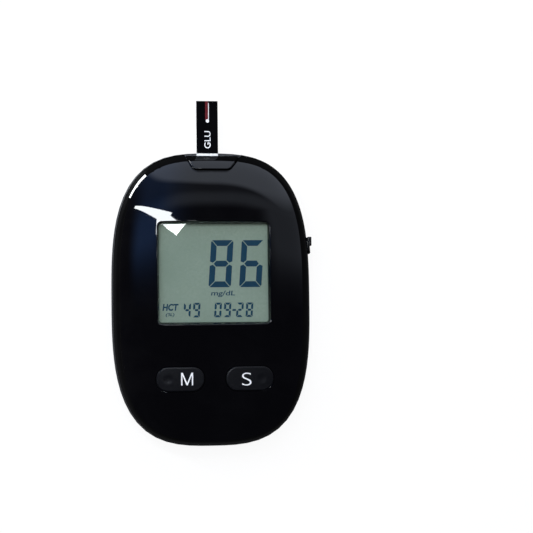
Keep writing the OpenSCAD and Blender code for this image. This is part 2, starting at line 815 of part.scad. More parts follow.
module zebra(side) {
    color("#d77a8a") translate([0, window_y + side * zebra_y, board_z])
        plate(zebra_l, zebra_w, front_glass_z - board_z);
}

module zebra_upper() { zebra(1); }
module zebra_lower() { zebra(-1); }

module main_board() {
    color("#1f6b3c") difference() {
        translate([0, 0, board_low]) linear_extrude(board_t) polygon(outline(even(board_inset)));
        screw_places() cylinder(r = hole_r, h = body_t, $fn = 32);
        board_screw_places() cylinder(r = hole_r, h = body_t, $fn = 32);
        // notch for the ejector's outer bar
        block([bar_x - slide_w - slide_gap, knob_y - slide_gap, 0],
            [half_w, bar_end + eject_travel + slide_gap, body_t]);
    }
}

// Flat package with legs along two sides
module chip(w, l, h, legs) {
    translate([0, 0, leg_h / 2]) plate(w, l, h - leg_h / 2, leg_w / 2);
    for (i = [1 : legs], side = [-1, 1])
        translate([side * w / 2, (i - (legs + 1) / 2) * l / (legs + 1), leg_h / 2])
            cube([2 * leg_l, leg_w, leg_h], center = true);
}

module processor() {
    color("#18181a") translate([0, window_y, board_z]) {
        chip(processor_w, processor_w, chip_h, processor_legs);
        rotate(90) chip(processor_w, processor_w, chip_h, processor_legs);
    }
}

module radio_module() {
    color("#c3c6c8") translate([-radio_x, radio_y, board_z]) {
        plate(radio_w, radio_l, radio_board_t);
        translate([(radio_aerial - radio_margin) / 2, 0, 0])
            plate(radio_w - radio_margin - radio_aerial, radio_l - 2 * radio_margin, radio_board_t + chip_h);
    }
}

module memory_chip() {
    color("#18181a") translate([side_part_x, side_part_y, board_z])
        chip(memory_w, memory_l, chip_h, memory_legs);
}

module crystal() {
    color("#cfd2d4") translate([-side_part_x, side_part_y, board_z]) pill(crystal_l, crystal_w, chip_h);
}

module small_parts() {
    color("#a08060") for (i = [0 : part_count - 1])
        translate([(i - (part_count - 1) / 2) * part_pitch, part_y - part_drop * (i % 2), board_z])
            plate(part_l, part_l / 2, part_h, fit_gap);
}

module strip_connector() {
    color("#e9e4d4") difference() {
        block([strip_x - connector_w / 2, connector_y, board_z],
            [strip_x + connector_w / 2, connector_y + connector_l, board_z + connector_h]);
        block([strip_x - slot_w / 2, connector_y - past, slot_low],
            [strip_x + slot_w / 2, connector_y + connector_l + past, slot_low + slot_h]);
        contact_places() block([-contact_w / 2 - fit_gap, connector_y + contact_back, board_z - past],
            [contact_w / 2 + fit_gap, connector_y + connector_l + past, slot_low + fit_gap]);
        // window over the contacts
        block([strip_x - slot_w / 2, connector_y + contact_back, slot_low],
            [strip_x + slot_w / 2, connector_y + connector_l - contact_back, board_z + connector_h + past]);
    }
}

module contact_places() {
    for (i = [0 : contact_count - 1])
        translate([strip_x + (i - (contact_count - 1) / 2) * contact_pitch, 0, 0]) children();
}

// Arched springs under the strip, each with a foot on the board
module strip_contacts() {
    top = strip_z - track_t - contact_gap;
    half = (connector_l - contact_back - contact_foot) / 2 - fit_gap;
    rise = top - board_z - contact_t;
    arch_r = (pow(half, 2) + pow(rise, 2)) / (2 * rise);
    middle = connector_y + contact_back + fit_gap + half;
    color("#d8b04a") contact_places() {
        intersection() {
            translate([-contact_w / 2, middle, top - arch_r]) rotate([0, 90, 0]) difference() {
                cylinder(r = arch_r, h = contact_w, $fn = 96);
                translate([0, 0, -past]) cylinder(r = arch_r - contact_t, h = contact_w + 2 * past, $fn = 96);
            }
            block([-contact_w, middle - half, board_z], [contact_w, middle + half + contact_t, top + past]);
        }
        block([-contact_w / 2, middle + half - contact_t, board_z],
            [contact_w / 2, connector_y + connector_l, board_z + contact_t]);
    }
}

// Knob that follows the flank, with the neck that runs through the slot in the wall
module eject_knob() {
    ridge_x = knob_foot(ridge_y) + knob_ridge;
    color("#3f4247") {
        translate([0, 0, knob_z - knob_h / 2]) linear_extrude(knob_h) polygon([
            [knob_foot(knob_y), knob_y], [knob_foot(knob_y) + knob_plate, knob_y + knob_plate],
            [knob_foot(ridge_y) + knob_plate, ridge_y], [ridge_x, ridge_y],
            [ridge_x, knob_y + knob_l], [knob_foot(knob_y + knob_l), knob_y + knob_l],
            [knob_foot(ridge_y), ridge_y]]);
        block([bar_x, neck_y, knob_z - neck_h / 2],
            [knob_foot(neck_y) + fit_gap, neck_y + neck_l, knob_z + neck_h / 2]);
    }
}

// Bars that carry the knob's push round the display to the strip
module eject_slide() {
    color("#7d8288") {
        block([bar_x - slide_w, knob_y, knob_z - neck_h / 2], [bar_x, bar_end, slide_z + slide_t]);
        block([inner_bar_x - slide_w, bar_end - slide_w, slide_z], [bar_x, bar_end, slide_z + slide_t]);
        block([inner_bar_x - slide_w, bar_end - slide_w, slide_z],
            [inner_bar_x, spring_y, slide_z + slide_t]);
        block([strip_x - finger_w / 2, arm_y, slide_z], [inner_bar_x, spring_y, slide_z + slide_t]);
        block([strip_x - finger_w / 2, arm_y, strip_z],
            [strip_x + finger_w / 2, strip_start - fit_gap, strip_z + strip_t]);
        // seat of the spring
        block([spring_x - spring_out, arm_y, slide_z],
            [spring_x + spring_out, spring_y, slide_z + 2 * spring_out]);
    }
}

// Coil spring between the slide's seat and the post of the front cover
module eject_spring() {
    steps = 12 * spring_turns;
    rise = (spring_l - 2 * spring_wire) / steps;
    color("#c0c4c8") translate([spring_x, spring_y, spring_z]) rotate([-90, 0, 0]) loft([
        for (i = [0 : steps])
            [for (a = [0 : 60 : 300])
                let (t = 360 * i / 12, r = spring_r + spring_wire * cos(a))
                [r * cos(t), r * sin(t), spring_wire + rise * i - spring_wire * sin(a)]]]);
}

module buzzer_disc() {
    color("#c9a13c") translate([0, buzzer_y, wall + buzzer_ring_h])
        cylinder(r = buzzer_r, h = disc_t, $fn = 64);
}

module buzzer_ceramic() {
    color("#e8e6dc") translate([0, buzzer_y, wall + buzzer_ring_h + disc_t])
        cylinder(r = ceramic_r, h = disc_t, $fn = 64);
}

// Coin cell with its narrower cap upwards
module coin_cell(side) {
    color("#c9ccd0") translate([side * cell_x, cell_y, cell_z]) union() {
        cylinder(r = cell_r, h = cell_t - cap_h, $fn = 64);
        cylinder(r = cell_r - cap_step, h = cell_t, $fn = 64);
    }
}

module coin_cell_left() { coin_cell(-1); }
module coin_cell_right() { coin_cell(1); }

// Leaf spring under the bay's ceiling that bows down to the cell, with a tail up to the board
module cell_contact(side) {
    bow = contact_room - leaf_t / 4;
    leaf_r = (pow(leaf_l / 2, 2) + pow(bow, 2)) / (2 * bow);
    color("#d4d0c0") translate([side * cell_x, cell_y, 0]) {
        intersection() {
            translate([-leaf_w / 2, 0, bay_z - bow + leaf_r]) rotate([0, 90, 0]) difference() {
                cylinder(r = leaf_r, h = leaf_w, $fn = 96);
                translate([0, 0, -past]) cylinder(r = leaf_r - leaf_t, h = leaf_w + 2 * past, $fn = 96);
            }
            block([-leaf_w, -leaf_l / 2, bay_z - bow - past], [leaf_w, leaf_l / 2, bay_z]);
        }
        block([-tail_w / 2, leaf_l / 2 - leaf_t, bay_z - leaf_t * 2], [tail_w / 2, leaf_l / 2, board_low]);
    }
}

module cell_contact_left() { cell_contact(-1); }
module cell_contact_right() { cell_contact(1); }

// Plate that joins the two cells, with a bump over each
module cell_bridge() {
    bump_r = bridge_w / 2 - fit_gap;
    color("#d4d0c0") translate([0, cell_y - leaf_l / 2 - bridge_w, 0]) {
        block([-cell_x, 0, bay_z - leaf_t], [cell_x, bridge_w, bay_z]);
        for (x = [-1, 1]) translate([x * (cell_x - bridge_w / 2), bridge_w / 2, cell_z + cell_t + leaf_t / 4])
            cylinder(r = bump_r, h = contact_room - leaf_t / 2, $fn = 32);
    }
}

module battery_door() {
    color("#2f3136") difference() {
        union() {
            intersection() {
                back_form();
                block([-door_w / 2, -half_l, door_recess], [door_w / 2, door_y, door_top]);
            }
            block([-door_w / 2 - rail_w, rail_end, rail_z],
                [door_w / 2 + rail_w, door_y - rail_w, rail_z + rail_t]);
        }
        // grooves of the thumb grip
        for (i = [0 : grip_count - 1]) translate([0, door_y - grip_in - i * grip_pitch, door_recess])
            rotate([0, 90, 0]) cylinder(r = grip_r, h = grip_w, center = true, $fn = 24);
    }
}

module case_screws() {
    color("#9a9da0") screw_places() screw(screw_seat_z);
}

module board_screws() {
    color("#9a9da0") board_screw_places() screw(board_low);
}

module strip_base() {
    color("#e9ecee") block([strip_x - strip_w / 2, strip_start, strip_z],
        [strip_x + strip_w / 2, strip_end, strip_z + strip_base_t]);
}

// Printed film on the part of the strip that stands out
module strip_print() {
    color("#151517") block([strip_x - strip_w / 2, half_l - print_in, strip_z + strip_base_t],
        [strip_x + strip_w / 2, strip_end, strip_z + strip_t]);
}

module strip_tracks() {
    color("#8a8f94") contact_places() block([-contact_w / 2, strip_start + fit_gap, strip_z - track_t],
        [contact_w / 2, insert_y + funnel_l, strip_z]);
}

front_cover();
back_cover();
window_lens();
lens_tape();
port_insert();
key_m();
key_s();
switch_m_plunger();
switch_s_plunger();
switch_m_body();
switch_s_body();
lcd_frame();
lcd_front_film();
lcd_front_glass();
lcd_rear_glass();
lcd_reflector();
zebra_upper();
zebra_lower();
main_board();
processor();
radio_module();
memory_chip();
crystal();
small_parts();
strip_connector();
strip_contacts();
eject_knob();
eject_slide();
eject_spring();
buzzer_disc();
buzzer_ceramic();
coin_cell_left();
coin_cell_right();
cell_contact_left();
cell_contact_right();
cell_bridge();
battery_door();
case_screws();
board_screws();
strip_base();
strip_print();
strip_tracks();
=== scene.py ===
from math import atan2, cos, hypot, pi, radians, sin

import bmesh
import bpy
from mathutils import Matrix, Vector


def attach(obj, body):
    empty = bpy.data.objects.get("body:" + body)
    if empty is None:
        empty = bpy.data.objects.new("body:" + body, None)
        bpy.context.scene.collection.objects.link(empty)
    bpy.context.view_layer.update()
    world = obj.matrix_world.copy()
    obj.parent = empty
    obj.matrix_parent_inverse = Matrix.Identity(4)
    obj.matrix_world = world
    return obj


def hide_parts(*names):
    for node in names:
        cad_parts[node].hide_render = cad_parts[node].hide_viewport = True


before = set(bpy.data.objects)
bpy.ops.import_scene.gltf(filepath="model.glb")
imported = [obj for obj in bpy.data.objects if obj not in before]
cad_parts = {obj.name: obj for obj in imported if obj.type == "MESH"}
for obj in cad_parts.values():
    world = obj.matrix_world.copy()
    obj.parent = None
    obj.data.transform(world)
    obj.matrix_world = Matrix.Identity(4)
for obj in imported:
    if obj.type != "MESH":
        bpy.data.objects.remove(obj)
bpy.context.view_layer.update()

# Table: a plain white sheet under the meter, which keeps the meter's shadow. The room is
# dim overhead, with a pale wall beyond the port end and a faint edge of ceiling above it, a
# fainter wall at the right and a bluish window glow at the left.
SHEET_HALF, SHEET_DROP = 3.0, 0.0002
SHEET_GLOW, SHEET_GLOW_MIRRORED = 0.91, 0.015
PAPER_GREY, PAPER_GREY_MIRRORED = 0.1, 0.02
DIM_AIR = (0.03, 0.03, 0.045, 1)
PALE_WALL = (0.86, 0.95, 1.12, 1)
WINDOW_BLUE = (0.13, 0.3, 0.78, 1)
scene = bpy.context.scene
scene.view_settings.view_transform = "Standard"


def wire(tree, kind, inputs=None, **settings):
    """Adds a shader node, links or sets its inputs and returns it."""
    node = tree.nodes.new(kind)
    for key, value in settings.items():
        setattr(node, key, value)
    for key, value in (inputs or {}).items():
        if isinstance(value, bpy.types.NodeSocket):
            tree.links.new(value, node.inputs[key])
        else:
            node.inputs[key].default_value = value
    return node


def sums(tree, operation, *values):
    """Joins values by one kind of sum, such as ADD, MULTIPLY or MAXIMUM."""
    total = values[0]
    for value in values[1:]:
        total = wire(tree, "ShaderNodeMath", {0: total, 1: value}, operation=operation).outputs[0]
    return total


def scaled(tree, value, factor, offset):
    """A value times a factor, plus an offset."""
    return wire(tree, "ShaderNodeMath", {0: value, 1: factor, 2: offset},
                operation="MULTIPLY_ADD").outputs[0]


def ramp(tree, value, low, high, first=0.0, last=1.0, curve="SMOOTHSTEP"):
    """Goes from first to last while the value goes from low to high."""
    return wire(tree, "ShaderNodeMapRange", {
        "Value": value, "From Min": low, "From Max": high, "To Min": first, "To Max": last,
    }, interpolation_type=curve).outputs[0]


sheet_mesh = bmesh.new()
bmesh.ops.create_grid(sheet_mesh, x_segments=8, y_segments=8, size=SHEET_HALF)
bmesh.ops.translate(sheet_mesh, vec=(0, 0, -SHEET_DROP), verts=sheet_mesh.verts)
sheet_data = bpy.data.meshes.new("table_sheet")
sheet_mesh.to_mesh(sheet_data)
table_sheet = bpy.data.objects.new("table_sheet", sheet_data)
scene.collection.objects.link(table_sheet)
paper = bpy.data.materials.new("table_paper")
paper.use_nodes = True
tree = paper.node_tree
tree.nodes.clear()
path = wire(tree, "ShaderNodeLightPath").outputs
seen = sums(tree, "MAXIMUM", path["Is Camera Ray"], path["Is Transmission Ray"],
            sums(tree, "MULTIPLY", path["Is Glossy Ray"], SHEET_GLOW_MIRRORED))
glow = wire(tree, "ShaderNodeEmission", {
    "Color": (1, 1, 1, 1), "Strength": sums(tree, "MULTIPLY", seen, SHEET_GLOW)})
matt = wire(tree, "ShaderNodeBsdfDiffuse", {"Color": scaled(
    tree, path["Is Glossy Ray"], PAPER_GREY_MIRRORED - PAPER_GREY, PAPER_GREY)})
both = wire(tree, "ShaderNodeAddShader", {0: matt.outputs[0], 1: glow.outputs[0]})
wire(tree, "ShaderNodeOutputMaterial", {"Surface": both.outputs[0]})
sheet_data.materials.append(paper)

room = bpy.data.worlds.new("room")
scene.world = room
room.use_nodes = True
tree = room.node_tree
tree.nodes.clear()
path = wire(tree, "ShaderNodeLightPath").outputs
seen = sums(tree, "MAXIMUM", path["Is Camera Ray"], path["Is Transmission Ray"])
way = wire(tree, "ShaderNodeSeparateXYZ", {
    0: wire(tree, "ShaderNodeTexCoord").outputs["Generated"]}).outputs
lean = scaled(tree, way["X"], 0.45, way["Y"])
far_wall = sums(tree, "MULTIPLY", ramp(tree, lean, 0.57, 0.71), ramp(tree, way["Y"], 0.25, 0.6))
ceiling_edge = sums(
    tree, "MULTIPLY", ramp(tree, way["Y"], 0.26, 0.35),
    ramp(tree, way["Y"], 0.38, 0.5, 0.32, 0.1), ramp(tree, way["X"], -0.3, 0.05))
right_wall = sums(
    tree, "MULTIPLY", ramp(tree, way["X"], 0.22, 0.45), ramp(tree, way["Y"], 0.02, 0.14), 0.3)
walls = sums(tree, "MAXIMUM", far_wall, right_wall, ceiling_edge)
window_glow = sums(
    tree, "MULTIPLY", ramp(tree, way["X"], 0.08, -0.25), ramp(tree, way["X"], -0.92, -0.5),
    ramp(tree, way["Y"], 0.02, 0.18), ramp(tree, way["Y"], 0.25, 0.55, 1.0, 0.5))
lit = wire(tree, "ShaderNodeBackground", {"Color": DIM_AIR, "Strength": 1.0})
for colour, strength in ((PALE_WALL, walls), (WINDOW_BLUE, window_glow)):
    patch = wire(tree, "ShaderNodeBackground", {"Color": colour, "Strength": strength})
    lit = wire(tree, "ShaderNodeAddShader", {0: lit.outputs[0], 1: patch.outputs[0]})
white = wire(tree, "ShaderNodeBackground", {"Color": (1, 1, 1, 1), "Strength": 1.0})
room_mix = wire(tree, "ShaderNodeMixShader", {0: seen, 1: lit.outputs[0], 2: white.outputs[0]})
wire(tree, "ShaderNodeOutputWorld", {"Surface": room_mix.outputs[0]})

# Camera and lamps: a long lens held over the meter, a little to its left and towards the
# key end. A bent strip light hangs at the upper left, a short one stands beside the upper
# left corner, and diffusers without a reflection fill in from above and from the left.
EYE = Vector((-0.03915478, -0.01754648, 0.4557571))
AIM = Vector((0.0163269, 0.009331, 0.010))
CAMERA_TURN = radians(-0.69946)
LAMP_TINT = (0.94, 0.98, 1)
DOWN = (0, 0, -1)
back = (EYE - AIM).normalized()
side = Vector((0, 1, 0)).cross(back).normalized()
right = cos(CAMERA_TURN) * side + sin(CAMERA_TURN) * back.cross(side)
above = -sin(CAMERA_TURN) * side + cos(CAMERA_TURN) * back.cross(side)
camera_data = bpy.data.cameras.new("camera")
camera_data.lens = 103.118
camera_data.sensor_width = 36
camera_data.clip_start = 0.02
camera_data.clip_end = 20
camera = bpy.data.objects.new("camera", camera_data)
camera.matrix_world = Matrix((right, above, back)).transposed().to_4x4()
camera.matrix_world.translation = EYE
scene.collection.objects.link(camera)
scene.camera = camera


def lamp(name, middle, faces, along, length, width, radiance, tint=(1, 1, 1)):
    """Flat lamp whose long side lies along a direction and which shines towards faces."""
    data = bpy.data.lights.new(name, "AREA")
    data.shape = "RECTANGLE"
    data.size = length
    data.size_y = width
    data.energy = radiance * length * width * pi
    data.color = tint
    z = -Vector(faces).normalized()
    x = Vector(along).normalized()
    lamp_object = bpy.data.objects.new(name, data)
    lamp_object.matrix_world = Matrix((x, z.cross(x), z)).transposed().to_4x4()
    lamp_object.matrix_world.translation = middle
    lamp_object.visible_camera = False
    scene.collection.objects.link(lamp_object)
    return lamp_object


for name, start, end, faces, width, radiance in (
        ("strip_light_tip", (0.031, 0.0695, 0.6), (0.0137, 0.0833, 0.6), DOWN, 0.012, 27),
        ("strip_light_near", (-0.013, 0.12, 0.6), (-0.065, 0.1613, 0.6), DOWN, 0.03, 25),
        ("strip_light_far", (-0.055, 0.161, 0.6), (-1.3, 0.78, 0.6), DOWN, 0.045, 25),
        ("strip_light_spur", (-0.134, 0.195, 0.6), (-0.109, 0.124, 0.6), DOWN, 0.03, 25),
        ("strip_light_low", (-0.0351, 0.0592, 0.007), (-0.0473, 0.0442, 0.007),
         (0.777, -0.632, 0), 0.011, 25)):
    start, end = Vector(start), Vector(end)
    lamp(name, (start + end) / 2, faces, end - start, (end - start).length, width, radiance,
         LAMP_TINT)
for name, middle, faces, along, length, width, radiance in (
        ("overhead_diffuser", (0, 0, 1.5), DOWN, (1, 0, 0), 1.2, 1.2, 2.5),
        ("side_diffuser", (-0.6, 0.05, 0.03), (1, 0, 0), (0, 1, 0), 0.4, 0.06, 40)):
    lamp(name, middle, faces, along, length, width, radiance).visible_glossy = False

# Back cover: the lower half of the housing, moulded in dark grey plastic with a fine
# spark-eroded grain. It carries the lip that keys the covers together, the battery bay
# and the seats of the screws.
MM = 0.001


def place(tree):
    """A piece's own coordinates."""
    return wire(tree, "ShaderNodeTexCoord").outputs["Object"]


def noise(tree, scale, detail, **more):
    """Noise over a piece's own coordinates."""
    return wire(tree, "ShaderNodeTexNoise", {
        "Vector": place(tree), "Scale": scale, "Detail": detail, **more}).outputs[0]


def level(tree, value, first, last, low=0.0, high=1.0):
    """Runs straight from first to last while the value goes from low to high."""
    return ramp(tree, value, low, high, first, last, "LINEAR")


def effect(name, inputs, outputs):
    """New group of shader nodes, and what its input node gives."""
    tree = bpy.data.node_groups.new(name, "ShaderNodeTree")
    for socket, value in inputs.items():
        tree.interface.new_socket(
            name=socket, in_out="INPUT", socket_type="NodeSocketFloat").default_value = value
    for socket in outputs:
        tree.interface.new_socket(name=socket, in_out="OUTPUT", socket_type="NodeSocketFloat")
    return tree, tree.nodes.new("NodeGroupInput").outputs


# Fine grain of a textured mould, with slow changes of tone and gloss.
moulded_grain, given = effect(
    "moulded_grain", {"Grain Scale": 3000.0, "Gloss": 0.5, "Spread": 0.1},
    ("Height", "Roughness", "Tone"))
fine = noise(moulded_grain, given["Grain Scale"], 3.0, Roughness=0.6)
slow = noise(moulded_grain, 90.0, 4.0)
speck = wire(moulded_grain, "ShaderNodeTexVoronoi", {
    "Vector": place(moulded_grain), "Scale": given["Grain Scale"]}).outputs[0]
drift = scaled(moulded_grain, slow, given["Spread"], given["Gloss"])
grit = scaled(moulded_grain, fine, given["Spread"], drift)
tone = sums(moulded_grain, "MULTIPLY", slow, fine)
wire(moulded_grain, "NodeGroupOutput", {
    "Height": sums(moulded_grain, "ADD", fine, speck),
    "Roughness": sums(moulded_grain, "SUBTRACT", grit, given["Spread"]),
    "Tone": level(moulded_grain, tone, 0.0, 1.0, 0.12, 0.42)})


def shade(name, **plain):
    """New material, its node tree and its shader, with the plain values set."""
    made = bpy.data.materials.new(name)
    made.use_nodes = True
    shader = made.node_tree.nodes["Principled BSDF"]
    for key, value in plain.items():
        shader.inputs[key.replace("_", " ")].default_value = value
    return made, made.node_tree, shader


def feed(tree, shader, **sockets):
    """Links what changes over the surface to the shader."""
    for key, socket in sockets.items():
        tree.links.new(socket, shader.inputs[key.replace("_", " ")])


def mixed_colour(tree, mask, first, second):
    """Goes from the first colour to the second while the mask goes from 0 to 1."""
    node = wire(tree, "ShaderNodeMix", data_type="RGBA")
    tree.links.new(mask, node.inputs[0])
    for slot, colour in ((6, first), (7, second)):
        node.inputs[slot].default_value = (*colour, 1)
    return node.outputs[2]


def raised(tree, height, depth, strength=1.0):
    """Relief on the surface, with its depth in millimetres."""
    return wire(tree, "ShaderNodeBump", {
        "Height": height, "Strength": strength, "Distance": depth * MM}).outputs[0]


def moulded(name, dark, light, gloss, spread=0.1, grain=3000.0, depth=0.02, **plain):
    """Injection-moulded plastic. Depth is that of its grain, in millimetres."""
    made, tree, shader = shade(name, **plain)
    skin = wire(tree, "ShaderNodeGroup", {
        "Grain Scale": grain, "Gloss": gloss, "Spread": spread}, node_tree=moulded_grain).outputs
    feed(tree, shader, Base_Color=mixed_colour(tree, skin["Tone"], dark, light),
         Roughness=skin["Roughness"], Normal=raised(tree, skin["Height"], depth, 0.6))
    return made


def traced(node):
    """Merged copy of a CAD node's mesh, in millimetres."""
    mesh = bmesh.new()
    mesh.from_mesh(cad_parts[node].data)
    bmesh.ops.scale(mesh, vec=(1000, 1000, 1000), verts=mesh.verts)
    bmesh.ops.remove_doubles(mesh, verts=mesh.verts, dist=0.002)
    return mesh


def fit(mesh, name, body, material, slot, *stands_for, sharp=28):
    """Turns a mesh in millimetres into a piece that rides on a body of the frame."""
    bmesh.ops.scale(mesh, vec=(MM, MM, MM), verts=mesh.verts)
    for face in mesh.faces:
        face.smooth = True
    for edge in mesh.edges:
        edge.smooth = edge.calc_face_angle(0) < radians(sharp)
    data = bpy.data.meshes.new(name)
    mesh.to_mesh(data)
    mesh.free()
    data.materials.append(material)
    piece = bpy.data.objects.new(name, data)
    scene.collection.objects.link(piece)
    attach(piece, body)
    if stands_for:
        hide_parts(*stands_for)
    return piece


def finish(material, *nodes):
    """Gives CAD nodes their finish."""
    for node in nodes:
        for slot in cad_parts[node].material_slots:
            slot.material = material


cover_grey = moulded("grained_grey_plastic", (0.026, 0.027, 0.029), (0.037, 0.038, 0.041), 0.4)
fit(traced("back_cover"), "back_cover_shell", "case", cover_grey, "cover_grey", "back_cover")

# Battery door: a grey moulded plate on two rails, with a thumb grip of four grooves. It
# slides out of the back towards the key end.
door_grey = moulded(
    "door_plastic", (0.031, 0.032, 0.034), (0.044, 0.045, 0.048), 0.43, grain=2600.0)
fit(traced("battery_door"), "battery_door_plate", "door", door_grey, "cover_grey", "battery_door")

# Coin cells and their springs: stainless cells with a spun finish, and leaf springs and
# a bridge stamped from thin nickel-plated steel.
# Fine lines of drawn or brushed metal, with a few tarnished spots.
drawn_metal, given = effect(
    "drawn_metal", {"Line Scale": 900.0, "Stretch": 12.0, "Gloss": 0.25},
    ("Height", "Roughness", "Tarnish"))
squeeze = wire(drawn_metal, "ShaderNodeCombineXYZ", {
    0: 1.0, 1: given["Stretch"], 2: given["Stretch"]}).outputs[0]
long = wire(drawn_metal, "ShaderNodeVectorMath", {
    0: place(drawn_metal), 1: squeeze}, operation="MULTIPLY").outputs[0]
lines = wire(drawn_metal, "ShaderNodeTexNoise", {
    "Vector": long, "Scale": given["Line Scale"], "Detail": 2.0}).outputs[0]
wire(drawn_metal, "NodeGroupOutput", {
    "Height": lines, "Roughness": scaled(drawn_metal, lines, 0.14, given["Gloss"]),
    "Tarnish": level(drawn_metal, noise(drawn_metal, 260.0, 5.0), 0.0, 1.0, 0.5, 0.8)})


def metal(name, bright, tarnished, gloss, lines=900.0, stretch=12.0):
    """Drawn, brushed or plated metal."""
    made, tree, shader = shade(name, Metallic=1.0)
    skin = wire(tree, "ShaderNodeGroup", {
        "Line Scale": lines, "Stretch": stretch, "Gloss": gloss}, node_tree=drawn_metal).outputs
    feed(tree, shader, Base_Color=mixed_colour(tree, skin["Tarnish"], bright, tarnished),
         Roughness=skin["Roughness"], Normal=raised(tree, skin["Height"], 0.01, 0.4))
    return made


cell_steel = metal("cell_stainless", (0.62, 0.62, 0.61), (0.45, 0.44, 0.42), 0.2)
finish(cell_steel, "coin_cell_left", "coin_cell_right")
nickel = metal("nickel_plated_steel", (0.66, 0.63, 0.56), (0.45, 0.42, 0.36), 0.18)
finish(nickel, "cell_contact_left", "cell_contact_right", "cell_bridge")

# Buzzer: a thin brass disc with a cream ceramic disc fired onto it, which stands beside
# the board and bends when a voltage is put across it.
brass = metal("buzzer_brass", (0.72, 0.5, 0.2), (0.42, 0.27, 0.1), 0.25)
finish(brass, "buzzer_disc")
ceramic = moulded("fired_ceramic", (0.7, 0.67, 0.58), (0.82, 0.79, 0.71), 0.35, grain=5000.0)
finish(ceramic, "buzzer_ceramic")

# Main board: glass-fibre laminate under green solder mask, with copper tracks that show
# through it as lighter lines.
solder_mask, tree, shader = shade("solder_mask", Coat_Weight=0.3, Coat_Roughness=0.15)
tracks = wire(tree, "ShaderNodeTexBrick", {
    "Vector": place(tree), "Scale": 260.0, "Mortar Size": 0.012, "Mortar Smooth": 0.2,
    "Color1": (0, 0, 0, 1), "Color2": (0, 0, 0, 1), "Mortar": (1, 1, 1, 1)})
fill = noise(tree, 70.0, 1.0)
copper = sums(tree, "MULTIPLY", tracks.outputs["Color"], level(tree, fill, 0.0, 1.0, 0.48, 0.52))
feed(tree, shader, Roughness=level(tree, fill, 0.25, 0.4), Normal=raised(tree, copper, 0.03),
     Base_Color=mixed_colour(tree, copper, (0.012, 0.1, 0.035), (0.05, 0.24, 0.08)))
finish(solder_mask, "main_board")

# Parts on the board: black epoxy packages, the tin-plated cans of the crystal and the
# radio module, tan chip parts and the ivory connector with its gold springs.
epoxy = moulded("package_epoxy", (0.012, 0.012, 0.014), (0.025, 0.025, 0.027), 0.5, grain=5000.0)
finish(epoxy, "processor", "memory_chip")
tin = metal("tin_plate", (0.6, 0.61, 0.62), (0.42, 0.42, 0.43), 0.22)
finish(tin, "radio_module", "crystal")
chip_tan = moulded("chip_ceramic", (0.28, 0.2, 0.12), (0.4, 0.3, 0.2), 0.4, grain=4000.0)
finish(chip_tan, "small_parts")
ivory = moulded("connector_nylon", (0.66, 0.61, 0.48), (0.74, 0.7, 0.58), 0.4, grain=3500.0)
finish(ivory, "strip_connector")
gold = metal("contact_gold", (0.86, 0.62, 0.26), (0.7, 0.46, 0.18), 0.15)
finish(gold, "strip_contacts")

# Key switches: tin-plated shells, soldered to the board, with a black nylon plunger that
# stands under each key.
finish(tin, "switch_m_body", "switch_s_body")
switch_black = moulded("plunger_nylon", (0.012, 0.012, 0.012), (0.022, 0.022, 0.022), 0.4)
finish(switch_black, "switch_m_plunger", "switch_s_plunger")

# Ejector: a moulded slide that runs round the display, and a coil spring of bright wire
# that brings it back.
slide_grey = moulded("slide_acetal", (0.16, 0.17, 0.18), (0.21, 0.22, 0.23), 0.35, grain=2500.0)
finish(slide_grey, "eject_slide")
spring_steel = metal("spring_wire", (0.6, 0.6, 0.61), (0.4, 0.4, 0.4), 0.16)
finish(spring_steel, "eject_spring")

# Display: a moulded white frame with the rubber contact strips, two glass plates over a
# reflector and a polarising film on top, which gives the grey-green ground.
frame_white = moulded("frame_plastic", (0.7, 0.7, 0.67), (0.8, 0.8, 0.77), 0.4)
finish(frame_white, "lcd_frame")
contact_rubber, tree, shader = shade("contact_rubber", Roughness=0.6)
layers = wire(tree, "ShaderNodeTexWave", {
    "Vector": place(tree), "Scale": 1600.0}, bands_direction="X").outputs["Fac"]
feed(tree, shader,
     Base_Color=mixed_colour(tree, layers, (0.03, 0.02, 0.022), (0.62, 0.2, 0.26)))
finish(contact_rubber, "zebra_upper", "zebra_lower")


def clouded(name, dark, light, scale, detail, roughness, **plain):
    """Finish whose tone and gloss change together in soft patches."""
    made, tree, shader = shade(name, **plain)
    patches = noise(tree, scale, detail)
    feed(tree, shader, Base_Color=mixed_colour(tree, patches, dark, light),
         Roughness=level(tree, patches, *roughness))
    return made


indium_glass = clouded("indium_glass", (0.42, 0.5, 0.47), (0.52, 0.6, 0.56), 120.0, 3.0,
                       (0.03, 0.1), Transmission_Weight=0.6, IOR=1.52, Alpha=0.5)
finish(indium_glass, "lcd_front_glass", "lcd_rear_glass")
reflector = metal("reflector_foil", (0.5, 0.54, 0.5), (0.42, 0.46, 0.42), 0.4, 1500.0, 2.0)
finish(reflector, "lcd_reflector")
film, tree, shader = shade("polarising_film", IOR=1.45, Specular_IOR_Level=0.1)
pores = noise(tree, 1400.0, 2.0)
mottle = level(tree, sums(tree, "MULTIPLY", noise(tree, 60.0, 5.0), pores), 0.0, 1.0, 0.12, 0.4)
feed(tree, shader, Roughness=level(tree, pores, 0.45, 0.65),
     Base_Color=mixed_colour(tree, mottle, (0.225, 0.288, 0.228), (0.267, 0.328, 0.265)))
finish(film, "lcd_front_film")

# Readout: the dark segments of the liquid crystal, which stand out from the film with
# the thin gaps between their electrodes. Each bar is a flat with mitred ends.
FILM_TOP = 16.4
INK = 0.03
LIT = {
    "0": "abcdef", "2": "abdeg", "4": "bcfg", "6": "acdefg", "8": "abcdefg", "9": "abcdfg",
}
LARGE = {"width": 6.5, "height": 13.64, "stroke": 1.7, "gap": 0.28, "slant": 0.95}
SMALL = {"width": 2.05, "height": 4.2, "stroke": 0.6, "gap": 0.16, "slant": 0.3}


